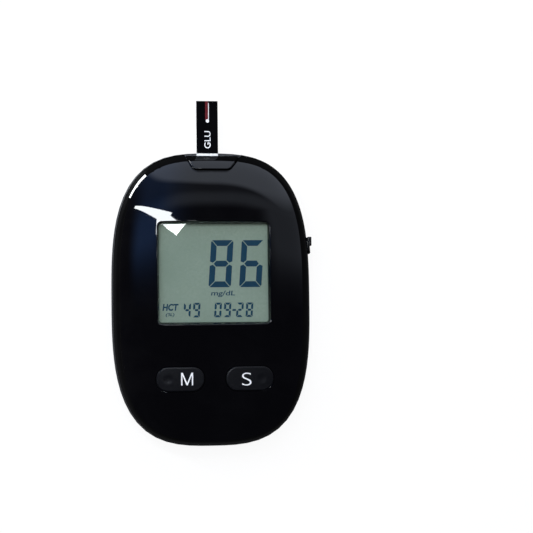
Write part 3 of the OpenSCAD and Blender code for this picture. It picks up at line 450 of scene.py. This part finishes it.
def bar(mesh, corners, low, high, surface=lambda x, y: 0):
    """Flat bar through its corners, raised from low to high above a surface."""
    face = mesh.faces.new([mesh.verts.new((x, y, low + surface(x, y))) for x, y in corners])
    lifted = bmesh.ops.extrude_face_region(mesh, geom=[face])["geom"]
    bmesh.ops.translate(mesh, vec=(0, 0, high - low), verts=[
        part for part in lifted if isinstance(part, bmesh.types.BMVert)])


def digit(mesh, sign, x, y, width, height, stroke, gap, slant):
    """One seven-bar digit with its lower left corner at x, y."""
    s, g, half = stroke, gap / 2, height / 2
    mid = stroke / 2
    shapes = {
        "a": [(g * 2, height), (width - 2 * g, height),
              (width - s - g, height - s), (s + g, height - s)],
        "d": [(g * 2, 0), (width - 2 * g, 0), (width - s - g, s), (s + g, s)],
        "g": [(mid + 2 * g, half), (s + g, half + mid), (width - s - g, half + mid),
              (width - mid - 2 * g, half), (width - s - g, half - mid), (s + g, half - mid)],
        "f": [(0, height - 2 * g - mid / 3), (mid / 3, height - 2 * g), (s, height - s - g),
              (s, half + mid + g), (mid, half + 2 * g), (0, half + mid * 0.6 + g)],
        "e": [(0, 2 * g + mid / 3), (mid / 3, 2 * g), (s, s + g),
              (s, half - mid - g), (mid, half - 2 * g), (0, half - mid * 0.6 - g)],
    }
    shapes["b"] = [(width - u, v) for u, v in shapes["f"]]
    shapes["c"] = [(width - u, v) for u, v in shapes["e"]]
    for name in LIT[sign]:
        bar(mesh, [(x + u + slant * v / height, y + v) for u, v in shapes[name]],
            FILM_TOP, FILM_TOP + INK)


def lettering(mesh, words, low, high, surface, turn=0, lean=0.0, bold=0.0):
    """Adds printed words that fill a box from low to high and lie on a surface."""
    curve = bpy.data.curves.new("words", "FONT")
    curve.body = words
    curve.offset = bold
    curve.shear = lean
    curve.extrude = 0.5
    holder = bpy.data.objects.new("words", curve)
    scene.collection.objects.link(holder)
    bpy.context.view_layer.update()
    flat = bpy.data.meshes.new_from_object(
        holder.evaluated_get(bpy.context.evaluated_depsgraph_get()))
    bpy.data.objects.remove(holder)
    before = set(mesh.verts)
    mesh.from_mesh(flat)
    verts = [v for v in mesh.verts if v not in before]
    bmesh.ops.rotate(mesh, verts=verts, matrix=Matrix.Rotation(radians(turn), 3, "Z"))
    first = [min(v.co[axis] for v in verts) for axis in (0, 1)]
    last = [max(v.co[axis] for v in verts) for axis in (0, 1)]
    for v in verts:
        x, y = (low[i] + (v.co[i] - first[i]) / (last[i] - first[i]) * (high[i] - low[i])
                for i in (0, 1))
        v.co = (x, y, surface(x, y) + (INK if v.co.z > 0 else -INK / 2))


def on_film(x, y):
    return FILM_TOP


readout = bmesh.new()
for sign, x in (("8", -1.49), ("6", 7.4)):
    digit(readout, sign, x, 2.98, **LARGE)
for sign, x in (("4", -8.86), ("9", -6.15), ("0", 0.05), ("9", 2.78), ("2", 6.4), ("8", 9.17)):
    digit(readout, sign, x, -5.68, **SMALL)
dash = [(5.38, -3.9), (6.4, -3.9), (6.44, -3.35), (5.42, -3.35)]
bar(readout, dash, FILM_TOP, FILM_TOP + INK)
for words, low, high, lean, bold in (
        ("mg/dL", (-0.75, 0.15), (6.25, 2.0), 0.1, 0.013),
        ("HCT", (-14.8, -3.73), (-10.15, -1.72), 0.15, 0.04),
        ("(%)", (-13.9, -5.55), (-11.35, -4.35), 0.15, 0.015)):
    lettering(readout, words, low, high, on_film, lean=lean, bold=bold)
crystal_navy = clouded("crystal_navy", (0.006, 0.032, 0.064), (0.013, 0.052, 0.09), 150.0, 4.0,
                       (0.45, 0.6), IOR=1.45, Specular_IOR_Level=0.1)
fit(readout, "readout_segments", "case", crystal_navy, "display_glass")

# Lens and its tape: a clear acrylic plate with rounded edges, stuck behind the sloping
# edge of the window with a frame of black foam tape.
WINDOW = (0.0, 7.1)
APERTURE = (15.75, 14.2, 0.8)
LENS = (17.35, 15.8, 1.2)
LENS_LOW, LENS_TOP, LENS_EDGE = 16.8, 17.8, 0.1
foam = moulded("foam_tape", (0.01, 0.01, 0.01), (0.02, 0.02, 0.02), 0.7, grain=2000.0, depth=0.05)
finish(foam, "lens_tape")


def beside(co, middle, outline, grow, z):
    """Nearest point, at height z, on a rounded box outline grown by a distance."""
    half_x, half_y, radius = outline
    x, y = co[0] - middle[0], co[1] - middle[1]
    near_x = max(-(half_x - radius), min(half_x - radius, x))
    near_y = max(-(half_y - radius), min(half_y - radius, y))
    off = Vector((x - near_x, y - near_y))
    if off.length > 1e-9:
        off = off.normalized() * (radius + grow)
    else:
        off = Vector((0, radius + grow))
    return Vector((middle[0] + near_x + off.x, middle[1] + near_y + off.y, z))


def drawn_on(mesh, rim, move):
    """Extrudes a rim of edges and puts its new points where move says."""
    made_now = bmesh.ops.extrude_edge_only(mesh, edges=rim)["geom"]
    points = {part for part in made_now if isinstance(part, bmesh.types.BMVert)}
    for point in points:
        point.co = move(point.co)
    return [part for part in made_now if isinstance(part, bmesh.types.BMEdge)
            and part.verts[0] in points and part.verts[1] in points]


def plate(mesh, middle, outline, profile, corner=9):
    """Closed solid over a rounded box outline, through a profile of [growth, height]."""
    half_x, half_y, radius = outline
    ring = bmesh.ops.create_circle(
        mesh, segments=4 * corner, radius=radius,
        matrix=Matrix.Rotation(pi / 4 / corner, 4, "Z"))["verts"]
    for point in ring:
        point.co.x += middle[0] + (half_x - radius) * (1 if point.co.x > 0 else -1)
        point.co.y += middle[1] + (half_y - radius) * (1 if point.co.y > 0 else -1)
    rim = list({edge for point in ring for edge in point.link_edges})
    for point in ring:
        point.co = beside(point.co, middle, outline, *profile[0])
    first = rim
    for grow, z in profile[1:]:
        rim = drawn_on(mesh, rim, lambda co: beside(co, middle, outline, grow, z))
    bmesh.ops.edgeloop_fill(mesh, edges=first)
    bmesh.ops.edgeloop_fill(mesh, edges=rim)


lens = bmesh.new()
plate(lens, WINDOW, LENS, [(-LENS_EDGE, LENS_LOW), (0, LENS_LOW + LENS_EDGE),
                           (0, LENS_TOP - LENS_EDGE), (-LENS_EDGE, LENS_TOP)])
bmesh.ops.recalc_face_normals(lens, faces=lens.faces)
clear_acrylic, tree, shader = shade(
    "clear_acrylic", Base_Color=(0.97, 0.99, 0.98, 1), Transmission_Weight=1.0, IOR=1.49)
smear = noise(tree, 110.0, 6.0, Distortion=0.8)
feed(tree, shader, Roughness=level(tree, smear, 0.0, 0.01, 0.35, 0.75))
through = wire(tree, "ShaderNodeBsdfTransparent", {"Color": (0.93, 0.94, 0.94, 1)})
path = wire(tree, "ShaderNodeLightPath").outputs
lens_mix = wire(tree, "ShaderNodeMixShader", {
    0: path["Is Camera Ray"], 1: through.outputs[0], 2: shader.outputs[0]})
tree.links.new(lens_mix.outputs[0], tree.nodes["Material Output"].inputs["Surface"])
fit(lens, "window_lens_plate", "case", clear_acrylic, "lens", "window_lens")

# Front cover: a domed shell in piano-black plastic, polished in the mould. Its outline is
# a squared oval, its flank rises to a crease and its face rolls over to it. The window,
# the key openings and the notch for the strip port are let into it.
HALF_W, HALF_L, SQUARENESS = 29.2, 43.0, 3.05
SEAM, SEAM_IN, WALL = 11.0, 0.8, 1.6
LIP_TOP, LIP_IN = 12.2, 1.5
# Rings of the flank: how far each is drawn in at the side, the port end and the key end,
# and its height. The last four round the crease over into the face.
FLANK = [(0.5, 0.5, 0.5, 11.27), (0.45, 0.45, 0.45, 11.38), (0.68, 1.07, 0.68, 12.15),
         (0.99, 1.914, 0.99, 13.25), (1.088, 2.161, 1.099, 13.545),
         (1.214, 2.423, 1.258, 13.839), (1.368, 2.703, 1.467, 14.131),
         (1.55, 2.998, 1.727, 14.421)]
FACE_SIDE_IN, FACE_PORT_IN, FACE_KEY_IN = 1.2, 2.5, 1.2
CROWN, BOW, ROLL = 19.99, 1.6, 4.4
FACE_RINGS, FACE_START, FACE_SPAN = 30, 0.98, 0.86


def reach(turn, half_x, half_y):
    """How far the squared oval reaches in a direction."""
    return ((abs(cos(turn)) / half_x) ** SQUARENESS
            + (abs(sin(turn)) / half_y) ** SQUARENESS) ** (-1 / SQUARENESS)


def on_ring(co, side_in, port_in, key_in, z):
    """The point at its own angle on the outline drawn in at the side and at each end."""
    turn = atan2(co.y, co.x)
    out = reach(turn, HALF_W - side_in, HALF_L - (port_in if sin(turn) >= 0 else key_in))
    return Vector((out * cos(turn), out * sin(turn), z))


def face_height(share):
    """Height of the face at a share of the way out from its middle."""
    return CROWN - BOW * share ** 2 - ROLL * share ** 8


def face_over(x, y):
    """Height of the face over a point of the plan."""
    end_in = FACE_PORT_IN if y >= 0 else FACE_KEY_IN
    return face_height(hypot(x, y) / reach(atan2(y, x), HALF_W - FACE_SIDE_IN, HALF_L - end_in))


def even_normals(piece):
    """Gives the corners on the face the normals of the curve that the face follows."""
    step, close, near = 0.02, 0.03, cos(radians(5))
    data = piece.data
    normals = []
    for loop, corner in zip(data.loops, data.corner_normals):
        x, y, z = data.vertices[loop.vertex_index].co / MM
        normal = Vector((0, 0, 0))
        if abs(z - face_over(x, y)) < close:
            slope = Vector((face_over(x - step, y) - face_over(x + step, y),
                            face_over(x, y - step) - face_over(x, y + step), 2 * step)).normalized()
            if slope.dot(corner.vector) > near:
                normal = slope
        normals.append(normal)
    data.normals_split_custom_set(normals)


def box_planes(middle, outline, grow=0.0, flare=0.0, z=0.0, corner=10):
    """Planes round a rounded box outline, leaning outwards by flare as they rise from z."""
    half_x, half_y, radius = outline
    planes = []
    for step in range(4 * corner):
        turn = step * pi / 2 / corner
        east = 0 if abs(cos(turn)) < 1e-6 else (half_x - radius) * (1 if cos(turn) > 0 else -1)
        north = 0 if abs(sin(turn)) < 1e-6 else (half_y - radius) * (1 if sin(turn) > 0 else -1)
        planes.append((Vector((middle[0] + east + (radius + grow) * cos(turn),
                               middle[1] + north + (radius + grow) * sin(turn), z)),
                       Vector((cos(turn), sin(turn), -flare)).normalized()))
    return planes


def carved(mesh, faces, planes):
    """Splits faces along planes and returns those that lie inside all of them."""
    inside = set(faces)
    for point, outward in planes:
        parts = inside | {edge for face in inside for edge in face.edges} | {
            vert for face in inside for vert in face.verts}
        cut = bmesh.ops.bisect_plane(
            mesh, geom=list(parts), dist=1e-5, plane_co=point, plane_no=outward)["geom"]
        inside = {part for part in cut if isinstance(part, bmesh.types.BMFace)
                  and (part.calc_center_median() - point).dot(outward) < 0}
    return inside


def opened(mesh, faces, planes):
    """Cuts an opening and returns its rim."""
    inside = carved(mesh, faces, planes)
    rim = [edge for edge in {edge for face in inside for edge in face.edges}
           if any(face not in inside for face in edge.link_faces)]
    bmesh.ops.delete(mesh, geom=list(inside), context="FACES")
    return rim


def trimmed(mesh, planes):
    """Keeps only the faces inside planes."""
    kept = carved(mesh, mesh.faces, planes)
    bmesh.ops.delete(mesh, geom=[face for face in mesh.faces if face not in kept], context="FACES")


def bodied():
    """Skin of the front cover from the seam to the crown."""
    skin = bmesh.new()
    bmesh.ops.create_circle(skin, segments=240, radius=1)
    for point in skin.verts:
        point.co = on_ring(point.co, SEAM_IN, SEAM_IN, SEAM_IN, SEAM)
    rim = skin.edges[:]
    for ring in FLANK:
        rim = drawn_on(skin, rim, lambda co: on_ring(co, *ring))
    for step in range(FACE_RINGS + 1):
        share = FACE_START - FACE_SPAN * (step / FACE_RINGS) ** 1.4
        rim = drawn_on(skin, rim, lambda co: on_ring(
            co, HALF_W - (HALF_W - FACE_SIDE_IN) * share, HALF_L - (HALF_L - FACE_PORT_IN) * share,
            HALF_L - (HALF_L - FACE_KEY_IN) * share, face_height(share)))
    bmesh.ops.edgeloop_fill(skin, edges=rim)
    bmesh.ops.recalc_face_normals(skin, faces=skin.faces)
    if sum(face.normal.z for face in skin.faces) < 0:
        bmesh.ops.reverse_faces(skin, faces=skin.faces)
    return skin


PORT_X, PORT_Y, PORT_HALF, PORT_ROUND = -0.05, 37.08, 4.15, 2.0
PORT_WALLS = {-1: 0.4, 1: 0.75}
GROOVE = 0.2
# The rolled edge along the groove: how far each ring lies outside it, and how deep.
GROOVE_ROLL = ((0.26, 0), (0.16, 0.02), (0.076, 0.076), (0.02, 0.16), (0, 0.26))
GROOVE_CUT = GROOVE + 0.34


def port_planes(grow):
    """Planes round the notch for the port, which widens to the end of the body."""
    planes = []
    for way, slope in PORT_WALLS.items():
        middle = Vector((PORT_X + way * PORT_HALF, PORT_Y + PORT_ROUND, 0))
        for step in range(11):
            turn = atan2(1, slope) * step / 10
            outward = Vector((way * sin(turn), -cos(turn), 0))
            planes.append((middle + outward * (PORT_ROUND + grow), outward))
    return planes


def port_edge(co, grow, z):
    """Nearest point, at height z, on the notch's outline grown by a distance."""
    way = -1 if co.x < PORT_X else 1
    middle = Vector((PORT_X + way * PORT_HALF, PORT_Y + PORT_ROUND))
    along = Vector((way * PORT_WALLS[way], 1)).normalized()
    off = co.xy - middle
    near = middle + along * max(0, off.dot(along))
    if off.x * way < 0 and off.y < 0:
        near = Vector((co.x, middle.y))
    off = (co.xy - near).normalized() * (PORT_ROUND + grow)
    return Vector((near.x + off.x, near.y + off.y, z))


def softened(mesh, faces, way):
    """Rolls the edge along the groove over: way is 1 on the cover and -1 on the insert."""
    rim = [edge for face in faces for edge in face.edges if edge.is_boundary
           and max(point.co.z for point in edge.verts) > SEAM + 0.001]
    before = 0
    for grow, drop in GROOVE_ROLL:
        rim = drawn_on(mesh, rim, lambda co: port_edge(
            co, way * (GROOVE + grow), max(SEAM, co.z - drop + before)))
        before = drop
    return rim


cover = bodied()
opened(cover, cover.faces, port_planes(GROOVE_CUT))
cover.normal_update()
outer = cover.faces[:]
copied = bmesh.ops.duplicate(cover, geom=cover.verts[:] + cover.edges[:] + cover.faces[:])
inner = [part for part in copied["geom"] if isinstance(part, bmesh.types.BMFace)]
outer_points = {point for face in outer for point in face.verts}
for was, now in copied["vert_map"].items():
    if was not in outer_points:
        continue
    if was.co.z < LIP_TOP:
        now.co = on_ring(was.co, LIP_IN, LIP_IN, LIP_IN, was.co.z)
    else:
        now.co = was.co - was.normal * WALL
bmesh.ops.reverse_faces(cover, faces=inner)
softened(cover, outer, 1)
bmesh.ops.bridge_loops(cover, edges=[edge for edge in cover.edges if edge.is_boundary])

# The window's sloping edge leans out by FLARE and rolls over into the face. Under it lie
# the lens's seat and the frame round it.
FLARE, EDGE_ROUND, EDGE_REACH = 0.33, 0.3, 0.72
SEAT, SEAT_LOW, FRAME_OUT = 1.7, 16.6, 3.1


def window_edge(co, swing):
    """Point of the window's rolled edge that has turned by swing from the face."""
    lip = face_over(co.x, co.y) - LENS_TOP
    grow = FLARE * lip + EDGE_ROUND * (EDGE_REACH - sin(swing))
    return beside(co, WINDOW, APERTURE, grow, LENS_TOP + lip - EDGE_ROUND * (1 - cos(swing)))


rim = opened(cover, outer, box_planes(WINDOW, APERTURE, EDGE_ROUND, FLARE, LENS_TOP))
for swing in (0, 18, 36, 54, 71.7):
    rim = drawn_on(cover, rim, lambda co: window_edge(co, radians(swing)))
for grow, z in ((0.05, LENS_TOP + 0.15), (0.0, LENS_TOP), (SEAT, LENS_TOP), (SEAT, SEAT_LOW),
                (FRAME_OUT, SEAT_LOW)):
    rim = drawn_on(cover, rim, lambda co: beside(co, WINDOW, APERTURE, grow, z))
inner_left = [face for face in inner if face.is_valid]
pocket = opened(cover, inner_left, box_planes(WINDOW, APERTURE, FRAME_OUT))
bmesh.ops.bridge_loops(cover, edges=rim + pocket)

# A collar hangs round each key opening, whose edge is broken by a fine roll.
KEY_Y = -23.4
KEYS = {-1: (-10.0, KEY_Y), 1: (10.0, KEY_Y)}
KEY_HOLE = (7.05, 3.6, 3.6)
HOLE_ROLL = ((0.05, 0.0), (0.012, 0.038), (0.0, 0.09))
COLLAR, COLLAR_LOW = 1.2, 16.1


def key_end(mesh, way, above):
    """Faces at the key end that look up or down and lie above a height."""
    return [face for face in mesh.faces if face.normal.z * way > 0.2
            and face.calc_center_median().z > above and face.calc_center_median().y < -12]


for middle in KEYS.values():
    rim = opened(cover, key_end(cover, 1, 17), box_planes(middle, KEY_HOLE, 0.2, corner=14))
    for grow, drop in HOLE_ROLL:
        rim = drawn_on(cover, rim, lambda co: beside(
            co, middle, KEY_HOLE, grow, face_over(co.x, co.y) - drop))
    for grow in (0.0, COLLAR):
        rim = drawn_on(cover, rim, lambda co: beside(co, middle, KEY_HOLE, grow, COLLAR_LOW))
    collar = opened(
        cover, key_end(cover, -1, 16.3), box_planes(middle, KEY_HOLE, COLLAR, corner=14))
    bmesh.ops.bridge_loops(cover, edges=rim + collar)

# Six posts take the case screws and the board screws. Their tops run into the roof.
POSTS = [(13.0, 35.0), (-13.0, 35.0), (17.0, -31.4), (-17.0, -31.4), (21.6, -13.2), (-21.6, -13.2)]
POST, POST_MIDDLE, POST_LOW, POST_TOP, POST_SUNK = 2.5, 1.2, 10.5, 16.2, 0.9
PILOT, PILOT_TOP = 1.05, 14.6


def turned(mesh, profile, middle, steps=32):
    """Solid of revolution through a profile of [radius, height] round an upright axis."""
    points = [mesh.verts.new((middle[0] + radius, middle[1], z)) for radius, z in profile]
    edges = [mesh.edges.new(pair) for pair in zip(points, points[1:])]
    bmesh.ops.spin(mesh, geom=points + edges, cent=(*middle, 0), axis=(0, 0, 1), angle=2 * pi,
                   steps=steps, use_merge=True)


for middle in POSTS:
    turned(cover, [(0, PILOT_TOP), (PILOT, PILOT_TOP), (PILOT, POST_LOW), (POST, POST_LOW),
                   (POST, POST_TOP), (POST_MIDDLE, POST_TOP), (0, POST_TOP)], middle)
for point in cover.verts:
    if abs(point.co.z - POST_TOP) < 1e-5 and any(
            hypot(point.co.x - x, point.co.y - y) < POST + 0.1 for x, y in POSTS):
        point.co.z = face_over(point.co.x, point.co.y) - POST_SUNK
bmesh.ops.remove_doubles(cover, verts=cover.verts, dist=0.0005)
bmesh.ops.recalc_face_normals(cover, faces=cover.faces)

# Faint marks of handling on the polished surface.
handling_marks, given = effect("handling_marks", {"Scale": 60.0}, ("Smudge", "Ripple"))
smear = noise(handling_marks, given["Scale"], 8.0, Roughness=0.62, Distortion=0.7)
wire(handling_marks, "NodeGroupOutput", {
    "Smudge": level(handling_marks, smear, 0.0, 1.0, 0.45, 0.8),
    "Ripple": noise(handling_marks, 220.0, 1.0)})
piano_black, tree, shader = shade("piano_black", IOR=1.5)
marks = wire(tree, "ShaderNodeGroup", node_tree=handling_marks).outputs
feed(tree, shader, Roughness=level(tree, marks["Smudge"], 0.012, 0.07),
     Normal=raised(tree, marks["Ripple"], 0.003, 0.3), Base_Color=mixed_colour(
         tree, marks["Smudge"], (0.0008, 0.0008, 0.001), (0.0022, 0.0022, 0.0024)))
even_normals(fit(cover, "front_cover_shell", "case", piano_black, "cover_black", "front_cover"))

# Port insert: a polished black block let into the notch, whose top carries on the face of
# the cover. The strip runs through its slot, which opens to a funnel at the mouth.
MOUTH_Y = 41.75
SLOT_LOW, SLOT_HIGH, SLOT_LEFT, SLOT_RIGHT, MOUTH_RIGHT = 11.45, 12.25, -4.3, 2.3, 4.7
GROOVE_WALL, GROOVE_FALL, INSERT_GAP = 0.4, 0.1, 0.03
insert = bodied()
trimmed(insert, port_planes(-GROOVE_CUT))
rim = softened(insert, insert.faces, -1)
rim = drawn_on(insert, rim, lambda co: port_edge(co, -GROOVE, max(SEAM, co.z - GROOVE_WALL)))
rim = drawn_on(insert, rim, lambda co: port_edge(
    co, GROOVE - INSERT_GAP, max(SEAM, co.z - GROOVE_FALL)))
drawn_on(insert, rim, lambda co: Vector((co.x, co.y, SEAM)))
bmesh.ops.remove_doubles(insert, verts=insert.verts, dist=0.0005)
bmesh.ops.holes_fill(insert, edges=[edge for edge in insert.edges if edge.is_boundary])
bmesh.ops.bisect_plane(
    insert, geom=insert.verts[:] + insert.edges[:] + insert.faces[:], dist=1e-5,
    plane_co=(0, MOUTH_Y, 0), plane_no=(0, 1, 0), clear_outer=True)
bmesh.ops.holes_fill(insert, edges=[edge for edge in insert.edges if edge.is_boundary])
bmesh.ops.recalc_face_normals(insert, faces=insert.faces)
ends = []
for way, last in ((1, MOUTH_RIGHT), (-1, SLOT_RIGHT)):
    wall = [face for face in insert.faces
            if face.normal.y * way > 0.6 and abs(face.normal.z) < 0.1]
    ends += opened(insert, wall, [
        (Vector(point), Vector(outward)) for point, outward in (
            ((0, 0, SLOT_LOW), (0, 0, -1)), ((0, 0, SLOT_HIGH), (0, 0, 1)),
            ((SLOT_LEFT, 0, 0), (-1, 0, 0)), ((last, 0, 0), (1, 0, 0)))])
bmesh.ops.bridge_loops(insert, edges=ends)
bmesh.ops.recalc_face_normals(insert, faces=insert.faces)
even_normals(fit(insert, "port_insert_block", "case", piano_black, "insert_black", "port_insert"))

# Keys: charcoal pills with a satin finish and softened edges. Each follows the face, has
# a round dimple at its outer end for the thumb and a flange that keeps it in the cover.
KEY = (6.9, 3.45, 3.45)
KEY_PROUD = 0.25
KEY_ROLL = ((-0.34, 0.0), (-0.22, 0.02), (-0.12, 0.065), (-0.04, 0.14), (0.0, 0.3))
FLANGE, FLANGE_TOP, FLANGE_LOW = 0.8, 16.0, 15.0
DIMPLE_X, DIMPLE, DIMPLE_DEEP = 13.4, 1.5, 0.13
key_satin = moulded("key_plastic", (0.0022, 0.0024, 0.0032), (0.004, 0.0043, 0.0055), 0.34, 0.06,
                    3500.0, 0.004, Specular_IOR_Level=0.25)
key_white = clouded("key_print", (0.78, 0.79, 0.8), (0.88, 0.88, 0.88), 900.0, 3.0, (0.35, 0.55),
                    IOR=1.45)


def on_key(x, y):
    """Height of a key's top, which stands a little proud of the face."""
    return face_over(x, y) + KEY_PROUD


def dimple(x, y, way):
    """Depth of the dimple under the key's top."""
    off = hypot(x - way * DIMPLE_X, y - KEY_Y) / DIMPLE
    return DIMPLE_DEEP * (1 - off ** 2) ** 1.5 if off < 1 else 0


for way, name, body in ((-1, "key_m", "left_key"), (1, "key_s", "right_key")):
    middle = KEYS[way]
    pill = bmesh.new()
    bmesh.ops.create_grid(pill, x_segments=64, y_segments=34, size=1)
    bmesh.ops.scale(pill, vec=(7.2, 3.8, 1), verts=pill.verts)
    bmesh.ops.translate(pill, vec=(*middle, 0), verts=pill.verts)
    trimmed(pill, box_planes(middle, KEY, -0.42, corner=14))
    for point in pill.verts:
        point.co.z = on_key(point.co.x, point.co.y) - dimple(point.co.x, point.co.y, way)
    rim = [edge for edge in pill.edges if edge.is_boundary]
    for grow, drop in KEY_ROLL:
        rim = drawn_on(pill, rim, lambda co: beside(
            co, middle, KEY, grow, on_key(co.x, co.y) - drop))
    for grow, z in ((0.0, FLANGE_TOP), (FLANGE, FLANGE_TOP), (FLANGE, FLANGE_LOW)):
        rim = drawn_on(pill, rim, lambda co: beside(co, middle, KEY, grow, z))
    bmesh.ops.edgeloop_fill(pill, edges=rim)
    bmesh.ops.recalc_face_normals(pill, faces=pill.faces)
    fit(pill, name + "_pill", body, key_satin, "key_grey", name)
    mark = bmesh.new()
    if way < 0:
        half = [(-1.71, 0), (-1.71, 3.6), (-1.24, 3.6), (0, 0.62)]
        foot = [(0, 0), (-0.16, 0), (-1.33, 2.86), (-1.33, 0)]
        outline = [*half, *((-x, y) for x, y in half[-2::-1]),
                   *((-x, y) for x, y in foot[:0:-1]), *foot[1:]]
        bar(mark, [(x - 8.08, y - 25.11) for x, y in outline], -INK / 2, INK, on_key)
        bmesh.ops.recalc_face_normals(mark, faces=mark.faces)
    else:
        lettering(mark, "S", (7.6, -25.4), (10.4, -21.72), on_key, bold=-0.014)
    fit(mark, name + "_letter", body, key_white, "key_grey")

# Ejector knob: a small moulded slider with a raised block for the thumb, on the right
# flank. Its neck runs through the slot in the wall.
knob_grey = moulded(
    "knob_plastic", (0.0025, 0.003, 0.004), (0.005, 0.0055, 0.007), 0.3, Specular_IOR_Level=0.25)
knob = traced("eject_knob")
bmesh.ops.dissolve_limit(knob, angle_limit=radians(1), verts=knob.verts, edges=knob.edges)
bmesh.ops.bevel(knob, geom=[edge for edge in knob.edges if edge.calc_face_angle(0) > radians(35)],
                offset=0.1, offset_type="OFFSET", segments=3, profile=0.5, affect="EDGES",
                material=-1, clamp_overlap=True)
fit(knob, "eject_knob_slider", "ejector", knob_grey, "cover_grey", "eject_knob")

# Screws: small cross-head screws of zinc-plated steel. Four hold the covers together, and
# two hold the board to its posts.
zinc = metal("zinc_plate", (0.5, 0.5, 0.5), (0.33, 0.33, 0.34), 0.25)
finish(zinc, "case_screws", "board_screws")

# Test strip: a white polyester film with carbon tracks, under a black printed film that
# leaves the sample channel, a sight line and three letters showing.
PRINT_TOP = 12.1
CHANNEL_LEFT, CHANNEL_RIGHT, SIGHT_RIGHT = -1.54, -0.66, -0.47
CHANNEL_FOOT, SIGHT_END, CHANNEL_END = 52.5, 57.4, 57.99
film_white = moulded("polyester_film", (0.86, 0.87, 0.88), (0.92, 0.93, 0.94), 0.3,
                     grain=4000.0, depth=0.005)
finish(film_white, "strip_base")
film_black = moulded("printed_film", (0.0008, 0.0008, 0.001), (0.0024, 0.0024, 0.0028), 0.025,
                     0.02, 4000.0, 0.0005)
finish(film_black, "strip_print")
carbon = moulded("carbon_ink", (0.06, 0.06, 0.065), (0.1, 0.1, 0.105), 0.5, grain=6000.0)
finish(carbon, "strip_tracks")
channel_red = moulded("sample_channel", (0.09, 0.003, 0.008), (0.15, 0.006, 0.014), 0.3,
                      grain=2000.0, depth=0.005, Specular_IOR_Level=0.1)
strip_ink = clouded("strip_ink", (0.84, 0.85, 0.86), (0.93, 0.93, 0.93), 1200.0, 3.0,
                    (0.4, 0.55), IOR=1.45)


def on_print(x, y):
    return PRINT_TOP


def stripe(mesh, left, right, foot, end):
    """Straight stripe of print along the strip."""
    bar(mesh, [(left, foot), (right, foot), (right, end), (left, end)], -INK / 2, INK / 2, on_print)


channel = bmesh.new()
stripe(channel, CHANNEL_LEFT, CHANNEL_RIGHT, CHANNEL_FOOT, CHANNEL_END)
fit(channel, "strip_channel", "strip", channel_red, "strip_black")
markings = bmesh.new()
stripe(markings, CHANNEL_RIGHT, SIGHT_RIGHT, CHANNEL_FOOT, SIGHT_END)
dot = [(0, PRINT_TOP - INK / 2), (0.5, PRINT_TOP - INK / 2), (0.5, PRINT_TOP + INK),
       (0, PRINT_TOP + INK)]
turned(markings, dot, (-0.9, 52.1), 24)
bmesh.ops.recalc_face_normals(markings, faces=markings.faces)
lettering(markings, "GLU", (-1.86, 44.0), (-0.02, 49.1), on_print, turn=90, bold=0.004)
fit(markings, "strip_markings", "strip", strip_ink, "strip_white")
